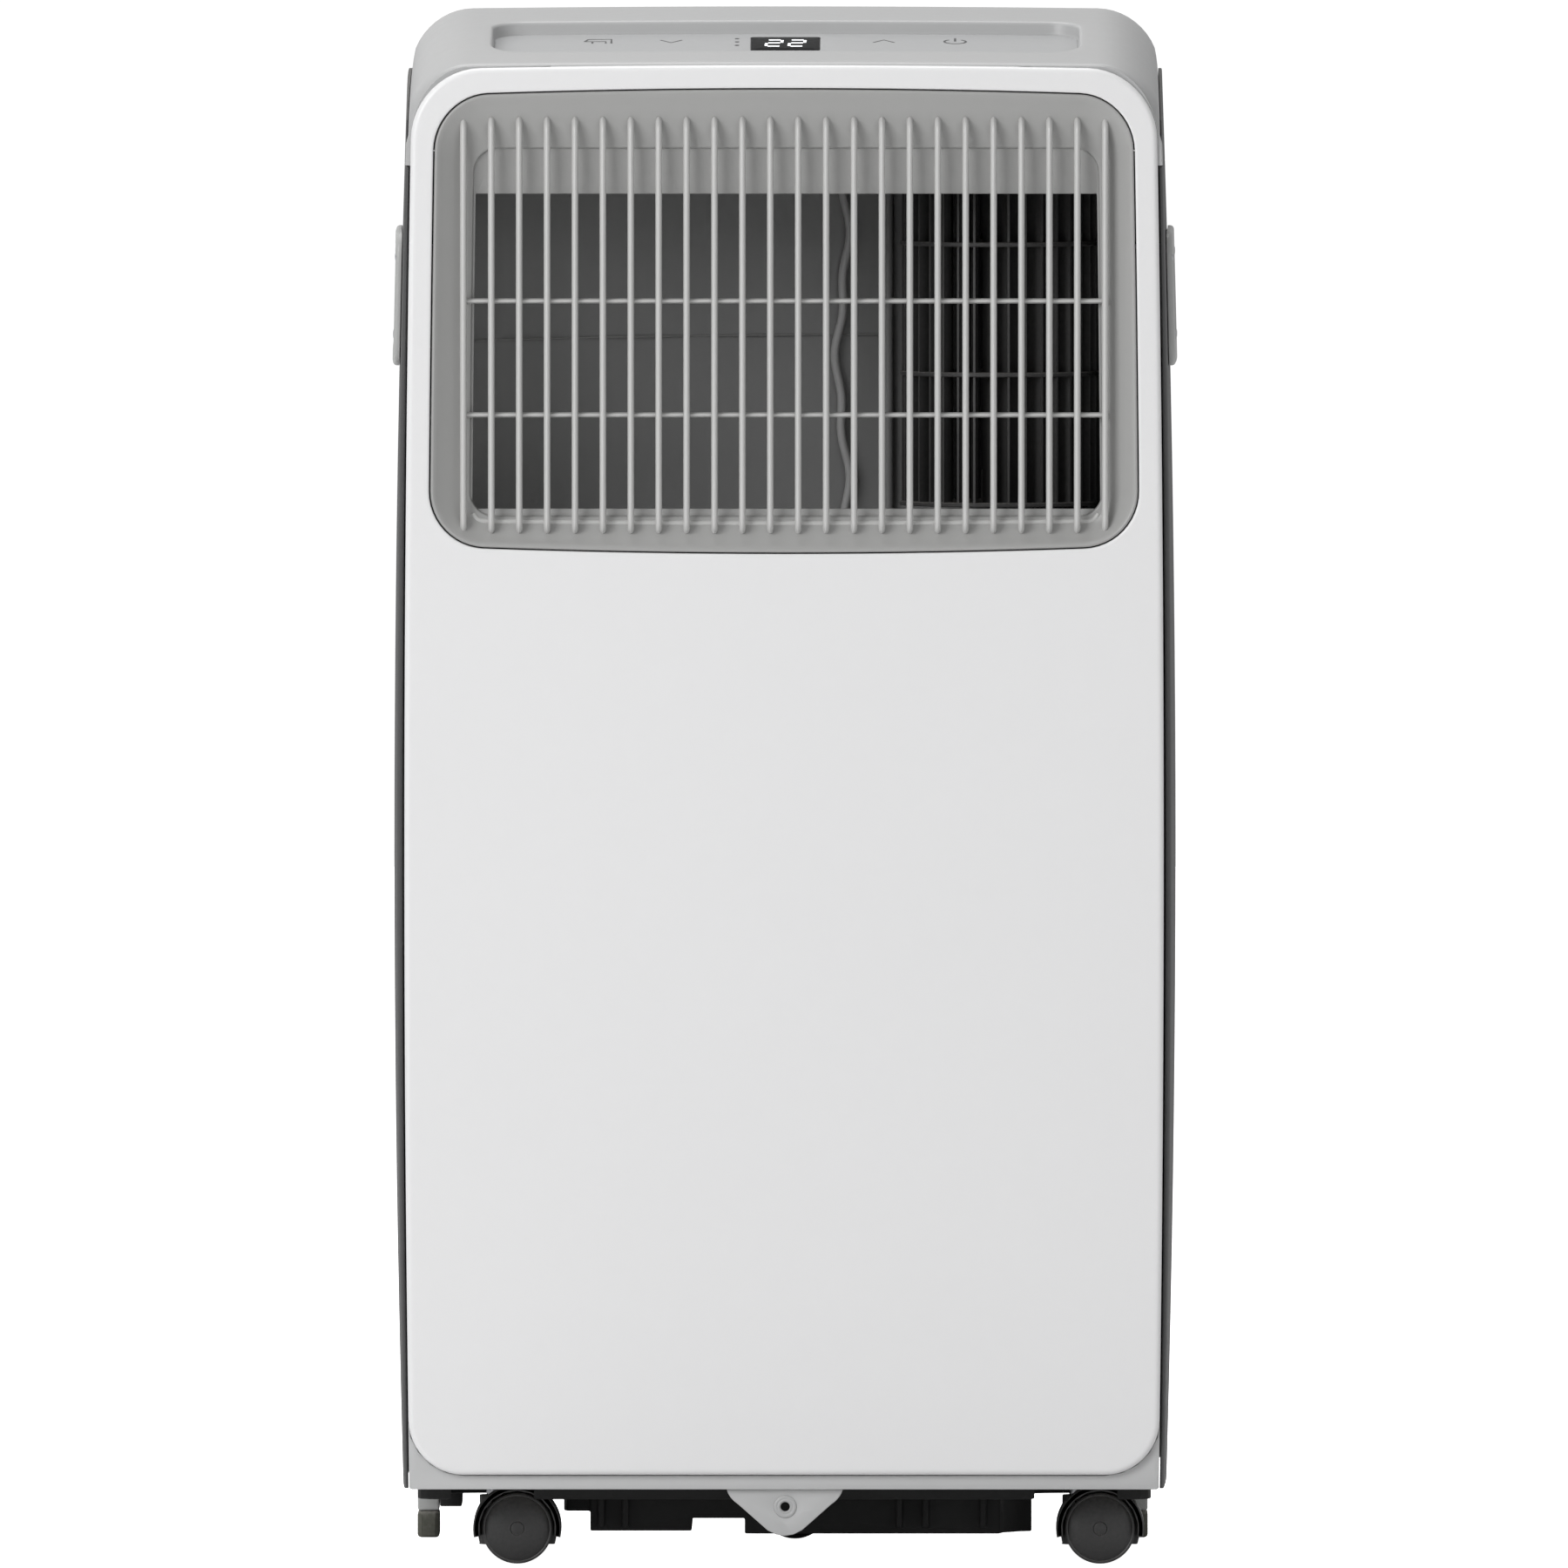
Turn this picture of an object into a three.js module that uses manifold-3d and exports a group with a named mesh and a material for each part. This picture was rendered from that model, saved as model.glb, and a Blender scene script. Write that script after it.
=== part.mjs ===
// Portable air conditioner, built as a bench assembly of separate mouldings, metal parts and machinery.
// Millimetres, +Z up, front towards -Y. The origin is on the floor under the middle of the case.
import * as THREE from 'three';
import { mergeVertices } from 'three/addons/utils/BufferGeometryUtils.js';
import Module from 'manifold-3d';

const wasm = await Module();
wasm.setup();

// ---- driving dimensions ----
const SIDE_HALF = 177.5;       // half width of the dark case at its widest height
const PANEL_HALF = 171.6;      // half width of the white front panel at the same height
const WIDEST_Z = 320;          // height at which the bowed sides are widest
const SIDE_BOW = 5.0e-5;       // how fast the case narrows above and below that height, 1/mm
const PANEL_BOW = 2.8e-5;      // the same for the front panel
const FRONT_Y = -172.5;        // front face of the white panel
const REAR_Y = 172.5;          // rear face of the collar and grilles
const BACK_WALL_Y = 168;       // outer face of the back of the case
const CASE_BOTTOM = 35.6;
const PANEL_BOTTOM = 42.3;
const PANEL_TOP = 677.8;       // at the corners, the middle is crowned
const PANEL_CROWN = 1.9;
const SIDE_TOP = 633.7;        // seam between side panel and upper case
const UPPER_TOP = 675;         // top of the upper case at its highest, in the middle of the flank
const TOP_Z = 703;
const TOP_RIDGE_Y = -5;        // where the cover is highest
const TOP_CURVE = 1178;        // twice the cover's radius of curvature, front to back
const WALL = 3;
const GAP = 0.35;              // clearance between neighbouring pieces
const COVER_HALF = 173.9;
const COVER_CORNER = 28.4;      // radius of the long rounded shoulders, left and right
const COVER_STEPS = 9;
const LIP_Y = -168;            // front edge of the top cover beside the panel

const OUTLET = { half: 161.2, bottom: 462.2, top: 666.3, crown: 3.1, dip: 3.4 };
const OUTLET_HOLE = { left: -141.5, right: 143.5, bottom: 479, top: 621.4 };
const BAR = { count: 24, first: -145.4, last: 145.6, width: 3, depth: 5, top: 655, bottom: 467 };
const CROSS_BAR_Z = [521.5, 573];

const RECESS = { left: -135, right: 136.5, front: -146, back: -81, depth: 6.8 };
const DISPLAY = { left: -15.5, right: 16.3, front: -122, back: -91 };

const FLANK_BULGE = 2.2;       // how far in the flank stands at its front edge
const BULGE_Y = -10;           // from here to the rear corner the flank is straight
const HANDLE = { y: -75, z: 573.5, half_height: 30.5, half_length: 65, proud: 3.2 };
const POCKET = { half_height: 20, half_length: 50, depth: 20 };

const CASTORS = {
  front_left: [-132, -115],
  front_right: [132, -115],
  rear: [-7, 128],
};
const WHEEL_R = 16;
const TRAIL = 11;

const BLOWER = { x: 98, y: -60, r: 46, bottom: 478, top: 657 };
const FAN = { x: 20, z: 190, r: 62, front: 30, back: 74 };
const EXHAUST = { x: 0, z: 360, bore: 62, flange: 80 };
const UPPER_INTAKE = { left: -110, right: 110, bottom: 456, top: 622 };
const LOWER_INTAKE = { left: -110, right: 110, bottom: 72, top: 264 };
const COMPRESSOR = { x: -95, y: -70, r: 52, bottom: 66, top: 262 };

const PALETTE = {
  white_plastic: { color: 0xe4e4e4, roughness: 0.4, metalness: 0 },
  light_grey_plastic: { color: 0xb9babb, roughness: 0.45, metalness: 0 },
  grille_grey_plastic: { color: 0x9a9b99, roughness: 0.45, metalness: 0 },
  dark_grey_plastic: { color: 0x3b3c3d, roughness: 0.55, metalness: 0 },
  black_plastic: { color: 0x141414, roughness: 0.5, metalness: 0 },
  black_gloss: { color: 0x08090a, roughness: 0.12, metalness: 0 },
  castor_plastic: { color: 0x3a3a3a, roughness: 0.5, metalness: 0 },
  rubber: { color: 0x4b4c46, roughness: 0.85, metalness: 0 },
  fin_aluminium: { color: 0xb8bcbf, roughness: 0.4, metalness: 1 },
  copper: { color: 0xb06a43, roughness: 0.3, metalness: 1 },
  zinc_steel: { color: 0x9ea2a6, roughness: 0.4, metalness: 1 },
  black_enamel: { color: 0x161718, roughness: 0.35, metalness: 0.2 },
  mesh_grey: { color: 0x55585a, roughness: 0.8, metalness: 0 },
  board_green: { color: 0x1f4a2c, roughness: 0.5, metalness: 0 },
};

// ---- shape helpers ----
function sideHalfWidth(z) {
  return SIDE_HALF - SIDE_BOW * (z - WIDEST_Z) ** 2;
}

function panelHalfWidth(z) {
  return PANEL_HALF - PANEL_BOW * (z - WIDEST_Z) ** 2;
}

// Case pieces are drawn with straight sides and then bowed, so that all of them follow the same flanks.
function bowed(geometry) {
  const position = geometry.attributes.position;
  for (let i = 0; i < position.count; i += 1) {
    const x = position.getX(i);
    const z = position.getZ(i);
    const reach = Math.abs(x);
    const panel = panelHalfWidth(z);
    const spread = (sideHalfWidth(z) - panel) / (SIDE_HALF - PANEL_HALF);
    const bent = reach <= PANEL_HALF ? reach * panel / PANEL_HALF : panel + (reach - PANEL_HALF) * spread;
    position.setX(i, Math.sign(x) * bent);
  }
  return geometry;
}

// The flanks draw in a little towards the front.
function bulge(y) {
  return y < BULGE_Y ? FLANK_BULGE * ((BULGE_Y - y) / 150) ** 2 : 0;
}

// Outer line of one flank in the plan view, from its front edge to the straight part.
function flankLine(start, grow) {
  return [start, -125, -90, -55, BULGE_Y].map((y) => new THREE.Vector2(SIDE_HALF + grow - bulge(y), y));
}

// Pieces fixed on a flank keep their thickness and follow its curve.
function onFlank(geometry) {
  const position = geometry.attributes.position;
  for (let i = 0; i < position.count; i += 1) {
    const x = position.getX(i);
    const z = position.getZ(i);
    const side = sideHalfWidth(z);
    const spread = (side - panelHalfWidth(z)) / (SIDE_HALF - PANEL_HALF);
    position.setX(i, x - Math.sign(x) * (SIDE_HALF - side + bulge(position.getY(i)) * spread));
  }
  return geometry;
}

function solid(geometry) {
  const bare = geometry.clone();
  bare.deleteAttribute('normal');
  bare.deleteAttribute('uv');
  const merged = mergeVertices(bare, 1e-4);
  return new wasm.Manifold(new wasm.Mesh({
    numProp: 3,
    vertProperties: new Float32Array(merged.attributes.position.array),
    triVerts: new Uint32Array(merged.index.array),
  }));
}

function joined(first, ...others) {
  return others.reduce((sum, other) => sum.add(other), first);
}

function cut(first, ...tools) {
  return tools.reduce((rest, tool) => rest.subtract(tool), first);
}

function geometryOf(manifold) {
  const mesh = manifold.getMesh();
  const geometry = new THREE.BufferGeometry();
  geometry.setAttribute('position', new THREE.BufferAttribute(new Float32Array(mesh.vertProperties), 3));
  geometry.setIndex(new THREE.BufferAttribute(new Uint32Array(mesh.triVerts), 1));
  return geometry;
}

function mirrored(manifold) {
  const geometry = geometryOf(manifold);
  const position = geometry.attributes.position;
  const index = geometry.index;
  for (let i = 0; i < position.count; i += 1) {
    position.setX(i, -position.getX(i));
  }
  for (let i = 0; i < index.count; i += 3) {
    const kept = index.getX(i);
    index.setX(i, index.getX(i + 1));
    index.setX(i + 1, kept);
  }
  return solid(geometry);
}

function box(x0, x1, y0, y1, z0, z1) {
  const geometry = new THREE.BoxGeometry(x1 - x0, y1 - y0, z1 - z0);
  geometry.translate((x0 + x1) / 2, (y0 + y1) / 2, (z0 + z1) / 2);
  return geometry;
}

function block(...sides) {
  return solid(box(...sides));
}

// A closed outline of points, with its long edges split so that it can be bowed.
function outline(points, longest = 95) {
  const fine = [];
  points.forEach((start, i) => {
    const end = points[(i + 1) % points.length];
    const pieces = Math.max(1, Math.ceil(start.distanceTo(end) / longest));
    for (let k = 0; k < pieces; k += 1) {
      fine.push(start.clone().lerp(end, k / pieces));
    }
  });
  return fine;
}

function roundedPoints(left, right, bottom, top, rBottom, rTop, steps = 5) {
  const corners = [
    [right - rBottom, bottom + rBottom, rBottom, -Math.PI / 2],
    [right - rTop, top - rTop, rTop, 0],
    [left + rTop, top - rTop, rTop, Math.PI / 2],
    [left + rBottom, bottom + rBottom, rBottom, Math.PI],
  ];
  const points = [];
  corners.forEach(([x, y, radius, start]) => {
    for (let k = 0; k <= steps; k += 1) {
      const angle = start + (Math.PI / 2) * (k / steps);
      points.push(new THREE.Vector2(x + radius * Math.cos(angle), y + radius * Math.sin(angle)));
    }
  });
  return points;
}

// Raises the top edge and lowers the bottom edge towards the middle of the width.
function crowned(points, half, middle, crown, dip) {
  return points.map((point) => {
    const bulge = 1 - Math.min(1, Math.abs(point.x) / half) ** 2;
    return new THREE.Vector2(point.x, point.y + (point.y > middle ? crown : -dip) * bulge);
  });
}

// Outline in the front view, pushed along Y from front to back.
function plate(points, front, back, steps = 1) {
  const geometry = new THREE.ExtrudeGeometry(new THREE.Shape(points), {
    depth: back - front,
    steps,
    bevelEnabled: false,
  });
  geometry.rotateX(Math.PI / 2);
  geometry.translate(0, back, 0);
  return geometry;
}

// Outline in the plan view, pushed up along Z.
function slab(points, low, high, steps = 1) {
  const geometry = new THREE.ExtrudeGeometry(new THREE.Shape(points), {
    depth: high - low,
    steps,
    bevelEnabled: false,
  });
  geometry.translate(0, 0, low);
  return geometry;
}

// Outline in the side view (Y, Z), pushed along X.
function sideways(points, left, right, steps = 1) {
  const geometry = new THREE.ExtrudeGeometry(new THREE.Shape(points), {
    depth: right - left,
    steps,
    bevelEnabled: false,
  });
  const turn = new THREE.Matrix4().makeBasis(
    new THREE.Vector3(0, 1, 0),
    new THREE.Vector3(0, 0, 1),
    new THREE.Vector3(1, 0, 0),
  );
  geometry.applyMatrix4(turn);
  geometry.translate(left, 0, 0);
  return geometry;
}

// Round bar or disc along Z, standing on z = low.
function upright(radius, x, y, low, high, sides = 20) {
  const geometry = new THREE.CylinderGeometry(radius, radius, high - low, sides);
  geometry.rotateX(Math.PI / 2);
  geometry.translate(x, y, (low + high) / 2);
  return geometry;
}

// Round bar or disc along Y.
function lengthwise(radius, x, z, front, back, sides = 20) {
  const geometry = new THREE.CylinderGeometry(radius, radius, back - front, sides);
  geometry.translate(x, (front + back) / 2, z);
  return geometry;
}

function turnedUp(profile, x, y, sides = 20) {
  const geometry = new THREE.LatheGeometry(profile.map(([r, z]) => new THREE.Vector2(r, z)), sides);
  geometry.rotateX(Math.PI / 2);
  geometry.translate(x, y, 0);
  return geometry;
}

function pipe(points, radius, steps) {
  const path = new THREE.CatmullRomCurve3(points.map((point) => new THREE.Vector3(...point)));
  const section = new THREE.Shape();
  section.absarc(0, 0, radius, 0, 2 * Math.PI, false);
  return new THREE.ExtrudeGeometry(section, {
    extrudePath: path,
    steps,
    curveSegments: 4,
    bevelEnabled: false,
  });
}

const vector = (x, y) => new THREE.Vector2(x, y);

// ---- assembly ----
const unit = new THREE.Group();
unit.name = 'portable_air_conditioner';

function add(name, shape, finish) {
  const geometry = shape.isBufferGeometry ? shape : geometryOf(shape);
  const mesh = new THREE.Mesh(geometry, new THREE.MeshStandardMaterial(PALETTE[finish]));
  mesh.name = name;
  unit.add(mesh);
}

// White front panel: a shallow tray with a turned-back rim and the outlet opening.
function panelPoints(grow) {
  const points = roundedPoints(
    -PANEL_HALF - grow, PANEL_HALF + grow, PANEL_BOTTOM - grow, PANEL_TOP + grow, 24.8 + grow, 31.5 + grow);
  return crowned(outline(points, 60), PANEL_HALF, WIDEST_Z, PANEL_CROWN, 0);
}

function outletPoints(grow, radius = 25) {
  const points = roundedPoints(
    -OUTLET.half - grow, OUTLET.half + grow, OUTLET.bottom - grow, OUTLET.top + grow,
    radius + grow, radius + grow);
  const middle = (OUTLET.bottom + OUTLET.top) / 2;
  return crowned(outline(points, 70), OUTLET.half, middle, OUTLET.crown, OUTLET.dip);
}

function panelSolid(grow, front, back) {
  return solid(bowed(plate(panelPoints(grow), front, back)));
}

function frontPanel() {
  const opening = solid(bowed(plate(outletPoints(0), FRONT_Y - 5, FRONT_Y + 20)));
  return cut(panelSolid(0, FRONT_Y, -160), panelSolid(-WALL, FRONT_Y + WALL, -155), opening);
}

// Outlet grille: a concave dish with a rectangular opening behind upright bars.
function outletGrille() {
  const back = -156;
  const dish = solid(bowed(plate(outletPoints(-0.6), FRONT_Y + 1.2, back)));
  const bowlShape = new THREE.Shape(outletPoints(-24, 30));
  const bowl = new THREE.ExtrudeGeometry(bowlShape, {
    depth: 20,
    bevelEnabled: true,
    bevelThickness: 10,
    bevelSize: 19.5,
    bevelSegments: 3,
  });
  bowl.rotateX(Math.PI / 2);
  bowl.translate(0, back - 3.2 - 10, 0);
  const hole = block(OUTLET_HOLE.left, OUTLET_HOLE.right, -190, -140, OUTLET_HOLE.bottom, OUTLET_HOLE.top);
  const frame = cut(dish, solid(bowed(bowl)), hole);
  const front = FRONT_Y + 2;
  const foot = back - 2;
  const profile = [
    vector(foot, BAR.top - BAR.depth), vector(front + BAR.depth, BAR.top - BAR.depth),
    vector(front + BAR.depth, BAR.bottom + BAR.depth), vector(foot, BAR.bottom + BAR.depth),
    vector(foot, BAR.bottom), vector(front + 3, BAR.bottom), vector(front, BAR.bottom + 5),
    vector(front, BAR.top - 5), vector(front + 3, BAR.top), vector(foot, BAR.top),
  ];
  const pitch = (BAR.last - BAR.first) / (BAR.count - 1);
  const bars = [];
  for (let i = 0; i < BAR.count; i += 1) {
    const x = BAR.first + pitch * i;
    bars.push(solid(sideways(profile, x - BAR.width / 2, x + BAR.width / 2)));
  }
  const rails = CROSS_BAR_Z.map((z) => block(
    OUTLET_HOLE.left - 4, OUTLET_HOLE.right + 4, front + BAR.depth - 0.8, back - 0.8, z - 1.2, z + 1.2));
  return joined(frame, ...bars, ...rails);
}

// Front frame: carries the panel, closes the case at the bottom, and has the fixing lug in its middle.
function frontFrame() {
  const points = outline(roundedPoints(-PANEL_HALF - 0.2, PANEL_HALF + 0.2, CASE_BOTTOM, 628, 1.2, 8, 2));
  const outer = solid(bowed(plate(points, -168, -146)));
  const window = joined(
    block(-150, 150, -180, -120, 62, 455),
    block(-163.5, 163.5, -180, -120, 450, 640));
  const seat = panelSolid(GAP, -180, -160 + GAP);
  const lug = new THREE.Shape();
  lug.moveTo(-20, 37);
  lug.lineTo(-26, 35.5);
  lug.quadraticCurveTo(-25, 31.5, -20.5, 28.5);
  lug.lineTo(-7.5, 17);
  lug.quadraticCurveTo(0.3, 11.9, 8.1, 17);
  lug.lineTo(21.1, 28.5);
  lug.quadraticCurveTo(25.6, 31.5, 26.6, 35.5);
  lug.lineTo(20.6, 37);
  const tab = solid(plate(lug.getPoints(4), -165, -161));
  const hole = solid(lengthwise(2.55, 0.3, 27.6, -170, -150, 16));
  const sink = new THREE.CylinderGeometry(2.5, 5.6, 1.6, 16);
  sink.translate(0.3, -164.3, 27.6);
  return cut(joined(cut(outer, window, seat), tab), hole, solid(sink));
}

// Plan-view outline of one flank: front lip, side wall and rear corner.
function flankPoints(inset, backEnd) {
  const inner = SIDE_HALF - WALL;
  const centreX = SIDE_HALF - 28;
  const centreY = BACK_WALL_Y - 28;
  const points = [
    vector(PANEL_HALF + inset, -157), vector(PANEL_HALF + inset, -166), vector(PANEL_HALF + 2.4, -166.5),
    vector(SIDE_HALF - 2.7, -164.2), ...flankLine(-161, 0),
  ];
  for (let k = 0; k <= 5; k += 1) {
    const angle = (Math.PI / 2) * (k / 5);
    points.push(vector(centreX + 28 * Math.cos(angle), centreY + 28 * Math.sin(angle)));
  }
  points.push(vector(backEnd, BACK_WALL_Y), vector(backEnd, BACK_WALL_Y - WALL));
  for (let k = 5; k >= 0; k -= 1) {
    const angle = (Math.PI / 2) * (k / 5);
    points.push(vector(centreX + 25 * Math.cos(angle), centreY + 25 * Math.sin(angle)));
  }
  points.push(vector(inner, -155));
  return points;
}

function sidePanel() {
  const wall = solid(bowed(slab(flankPoints(0.7, 120.5), CASE_BOTTOM + 0.4, SIDE_TOP, 7)));
  const window = block(150, 190, HANDLE.y - POCKET.half_length - 4, HANDLE.y + POCKET.half_length + 4,
    HANDLE.z - POCKET.half_height - 4, HANDLE.z + POCKET.half_height + 4);
  return cut(wall, window);
}

// Upper case: the dark band that joins both flanks across the back, under the top cover.
function upperCase() {
  const right = [];
  const left = [];
  const centreY = BACK_WALL_Y - 28;
  const corner = (radius) => Array.from({ length: 6 }, (_, k) => {
    const angle = (Math.PI / 2) * (k / 5);
    return vector(SIDE_HALF - 28 + radius * Math.cos(angle), centreY + radius * Math.sin(angle));
  });
  right.push(
    vector(SIDE_HALF - WALL, -160), vector(SIDE_HALF - 2.6, -160), ...flankLine(-158, 0), ...corner(28));
  left.push(vector(SIDE_HALF - WALL, -155), ...corner(25));
  const mirror = (point) => vector(-point.x, point.y);
  const points = [...right, ...right.map(mirror).reverse(), ...left.map(mirror), ...left.reverse()];
  return solid(bowed(slab(points, SIDE_TOP + GAP, UPPER_TOP, 2))).intersect(underCover(TOP_Z - UPPER_TOP));
}

// How far the top surface has fallen below the ridge.
function topDrop(y) {
  return (y - TOP_RIDGE_Y) ** 2 / TOP_CURVE;
}

// Surface of the top cover, lowered by some depth, as a side-view outline that is closed below.
function coverProfile(depth, floor) {
  const points = [];
  for (let k = 0; k <= COVER_STEPS; k += 1) {
    const y = -180 + (360 / COVER_STEPS) * k;
    points.push(vector(y, TOP_Z - depth - topDrop(y)));
  }
  return [vector(180, floor), ...points.reverse(), vector(-180, floor)];
}

function underCover(depth, floor = 560) {
  return solid(sideways(coverProfile(depth, floor), -200, 200));
}

// The cover is one rounded front-view outline, swept from front to back along the falling top line.
function coverBody(inset) {
  const front = roundedPoints(-COVER_HALF + inset, COVER_HALF - inset, 600, TOP_Z - 1.2 - inset,
    2, COVER_CORNER - inset);
  const sweep = plate(crowned(outline(front, 60), COVER_HALF, 640, 1.2, 0), -180, 180, COVER_STEPS);
  const position = sweep.attributes.position;
  for (let i = 0; i < position.count; i += 1) {
    position.setZ(i, position.getZ(i) - topDrop(position.getY(i)));
  }
  const plan = roundedPoints(-COVER_HALF + inset, COVER_HALF - inset,
    LIP_Y + inset, BACK_WALL_Y - 3.8 - inset, 9, 24.4 - inset);
  const planView = solid(bowed(slab(plan, 560, 720, 4)));
  return solid(bowed(sweep)).intersect(planView);
}

function recessPoints(grow) {
  const end = (RECESS.back - RECESS.front) / 2 + grow - 1;
  return roundedPoints(RECESS.left - grow, RECESS.right + grow, RECESS.front - grow, RECESS.back + grow,
    Math.min(end, 14 + grow), Math.min(end, 14 + grow), 4);
}

function recessColumn(grow, depth) {
  return cut(solid(slab(recessPoints(grow), 640, 720)), underCover(depth));
}

function topCover() {
  const cavity = cut(coverBody(WALL), recessColumn(WALL, RECESS.depth + WALL));
  const belowSkirt = underCover(COVER_CORNER + 14, 500).intersect(block(-200, 200, -150, 200, 490, 720));
  const belowShoulders = block(-200, 200, -200, -149, 490, 634.3);
  const shell = cut(coverBody(0), cavity, belowSkirt, belowShoulders);
  return cut(shell, recessColumn(0, RECESS.depth), panelSolid(GAP, -180, -146));
}

function sheetOnRecess(points, low, high) {
  return solid(slab(points, 640, 720)).intersect(underCover(high)).subtract(underCover(low));
}

function displayPoints(grow) {
  return roundedPoints(
    DISPLAY.left - grow, DISPLAY.right + grow, DISPLAY.front - grow, DISPLAY.back + grow, 1, 1, 1);
}

function controlFilm() {
  const film = sheetOnRecess(recessPoints(-0.8), RECESS.depth - 0.3, RECESS.depth - 0.9);
  return cut(film, solid(slab(displayPoints(0.3), 640, 720)));
}

function controlBoard() {
  const board = box(-120, 120, -26, 26, -1, 1);
  const parts = [[-80, 0, 9, 4], [-50, 8, 6, 5], [40, -6, 12, 3]];
  const bumps = parts.map(([x, y, half, tall]) => block(x - half, x + half, y - 7, y + 7, -1 - tall, 0));
  const geometry = geometryOf(joined(solid(board), ...bumps));
  geometry.rotateX(THREE.MathUtils.degToRad(10.5));
  geometry.translate(0, -112, 676.5);
  return geometry;
}

// Carrying handle: a flanged finger cup set into the flank.
function handle() {
  const reach = (half) => [HANDLE.y - half, HANDLE.y + half];
  const base = roundedPoints(...reach(HANDLE.half_length),
    HANDLE.z - HANDLE.half_height, HANDLE.z + HANDLE.half_height, 10, 10, 4);
  const outerFace = SIDE_HALF + HANDLE.proud;
  const cupBack = outerFace - POCKET.depth;
  const flank = solid(bowed(slab(
    [vector(150, -161), ...flankLine(-161, 0.3), vector(SIDE_HALF + 0.3, 60), vector(150, 60)], 535, 612, 1)));
  const flange = cut(solid(onFlank(sideways(outline(base, 20), SIDE_HALF - 3, outerFace))), flank);
  const cup = roundedPoints(...reach(POCKET.half_length + 2.5),
    HANDLE.z - POCKET.half_height - 2.5, HANDLE.z + POCKET.half_height + 2.5, 8, 8, 3);
  const inside = roundedPoints(...reach(POCKET.half_length),
    HANDLE.z - POCKET.half_height, HANDLE.z + POCKET.half_height, 6, 6, 3);
  const body = joined(flange, solid(onFlank(sideways(cup, cupBack - 2.5, SIDE_HALF + 1.5))));
  return cut(body, solid(onFlank(sideways(inside, cupBack, outerFace + 10))));
}

// Back of the case, with both intakes, the exhaust hole, the drains and the cord hole.
const DRAIN_UPPER = { x: -98, z: 436, r: 9 };
const DRAIN_LOWER = { x: -60, z: 54, r: 9 };
const CORD = { x: 92, z: 54, r: 8 };

function intakeHole(intake, grow) {
  return block(intake.left - grow, intake.right + grow, 150, 180, intake.bottom - grow, intake.top + grow);
}

function rearPanel() {
  const points = roundedPoints(-120, 120, BACK_WALL_Y - WALL, BACK_WALL_Y, 0.4, 0.4, 1);
  const wall = solid(bowed(slab(points, CASE_BOTTOM + 0.4, SIDE_TOP, 7)));
  const ports = [DRAIN_UPPER, DRAIN_LOWER, CORD].map((port) => solid(
    lengthwise(port.r + GAP, port.x, port.z, 150, 180, 20)));
  const exhaust = solid(lengthwise(EXHAUST.bore + 5, EXHAUST.x, EXHAUST.z, 150, 180, 40));
  return cut(wall, intakeHole(UPPER_INTAKE, 0), intakeHole(LOWER_INTAKE, 0), exhaust, ...ports);
}

// Louvred intake cassette: a plug that fits the hole, a flange over it, and level slots.
function intakeGrille(intake) {
  const plug = block(intake.left + GAP, intake.right - GAP, 159, BACK_WALL_Y + 1,
    intake.bottom + GAP, intake.top - GAP);
  const flange = block(intake.left - 5, intake.right + 5, BACK_WALL_Y + GAP, REAR_Y,
    intake.bottom - 5, intake.top + 5);
  const rows = Math.round((intake.top - intake.bottom - 16) / 11);
  const pitch = (intake.top - intake.bottom - 16) / rows;
  const slots = [];
  for (let i = 0; i < rows; i += 1) {
    const low = intake.bottom + 8 + pitch * i + 1.6;
    slots.push(block(intake.left + 8, intake.right - 8, 150, 180, low, low + pitch - 3.2));
  }
  return cut(joined(plug, flange), ...slots);
}

// Filter frame with a mesh sheet, clipped behind its grille.
function filterFrame(intake) {
  const body = block(intake.left + 4, intake.right - 4, 152, 158.6, intake.bottom + 4, intake.top - 4);
  const pockets = [];
  const columns = 3;
  const width = (intake.right - intake.left - 16) / columns;
  for (let i = 0; i < columns; i += 1) {
    const left = intake.left + 8 + width * i;
    pockets.push(block(left + 1.5, left + width - 1.5, 155.2, 165, intake.bottom + 9, intake.top - 9));
    pockets.push(block(left + 1.5, left + width - 1.5, 145, 154.4, intake.bottom + 9, intake.top - 9));
  }
  return cut(body, ...pockets);
}

function exhaustCollar() {
  const outerBore = EXHAUST.bore + 4.6;
  const profile = [
    [EXHAUST.bore, 122], [outerBore, 122], [outerBore, BACK_WALL_Y + GAP], [EXHAUST.flange, BACK_WALL_Y + GAP],
    [EXHAUST.flange, REAR_Y - 1], [EXHAUST.flange - 1, REAR_Y], [EXHAUST.bore, REAR_Y], [EXHAUST.bore, 122],
  ];
  const geometry = new THREE.LatheGeometry(profile.map(([r, y]) => vector(r, y)), 32);
  geometry.translate(EXHAUST.x, 0, EXHAUST.z);
  const notches = [0, 1, 2].map((k) => {
    const angle = (k * 2 * Math.PI) / 3 + Math.PI / 2;
    const notch = box(-7, 7, REAR_Y - 9, REAR_Y + 5, EXHAUST.bore - 2, EXHAUST.bore + 2.4);
    notch.rotateY(angle);
    notch.translate(EXHAUST.x, 0, EXHAUST.z);
    return solid(notch);
  });
  return cut(solid(geometry), ...notches);
}

function drainPlug(port) {
  const stem = solid(lengthwise(port.r - 0.2, port.x, port.z, 158, 170, 20));
  const head = solid(lengthwise(port.r + 3, port.x, port.z, BACK_WALL_Y + GAP, 171, 20));
  const grip = block(port.x - 8, port.x + 8, 170, REAR_Y, port.z - 1.5, port.z + 1.5);
  return joined(stem, head, grip);
}

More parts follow.
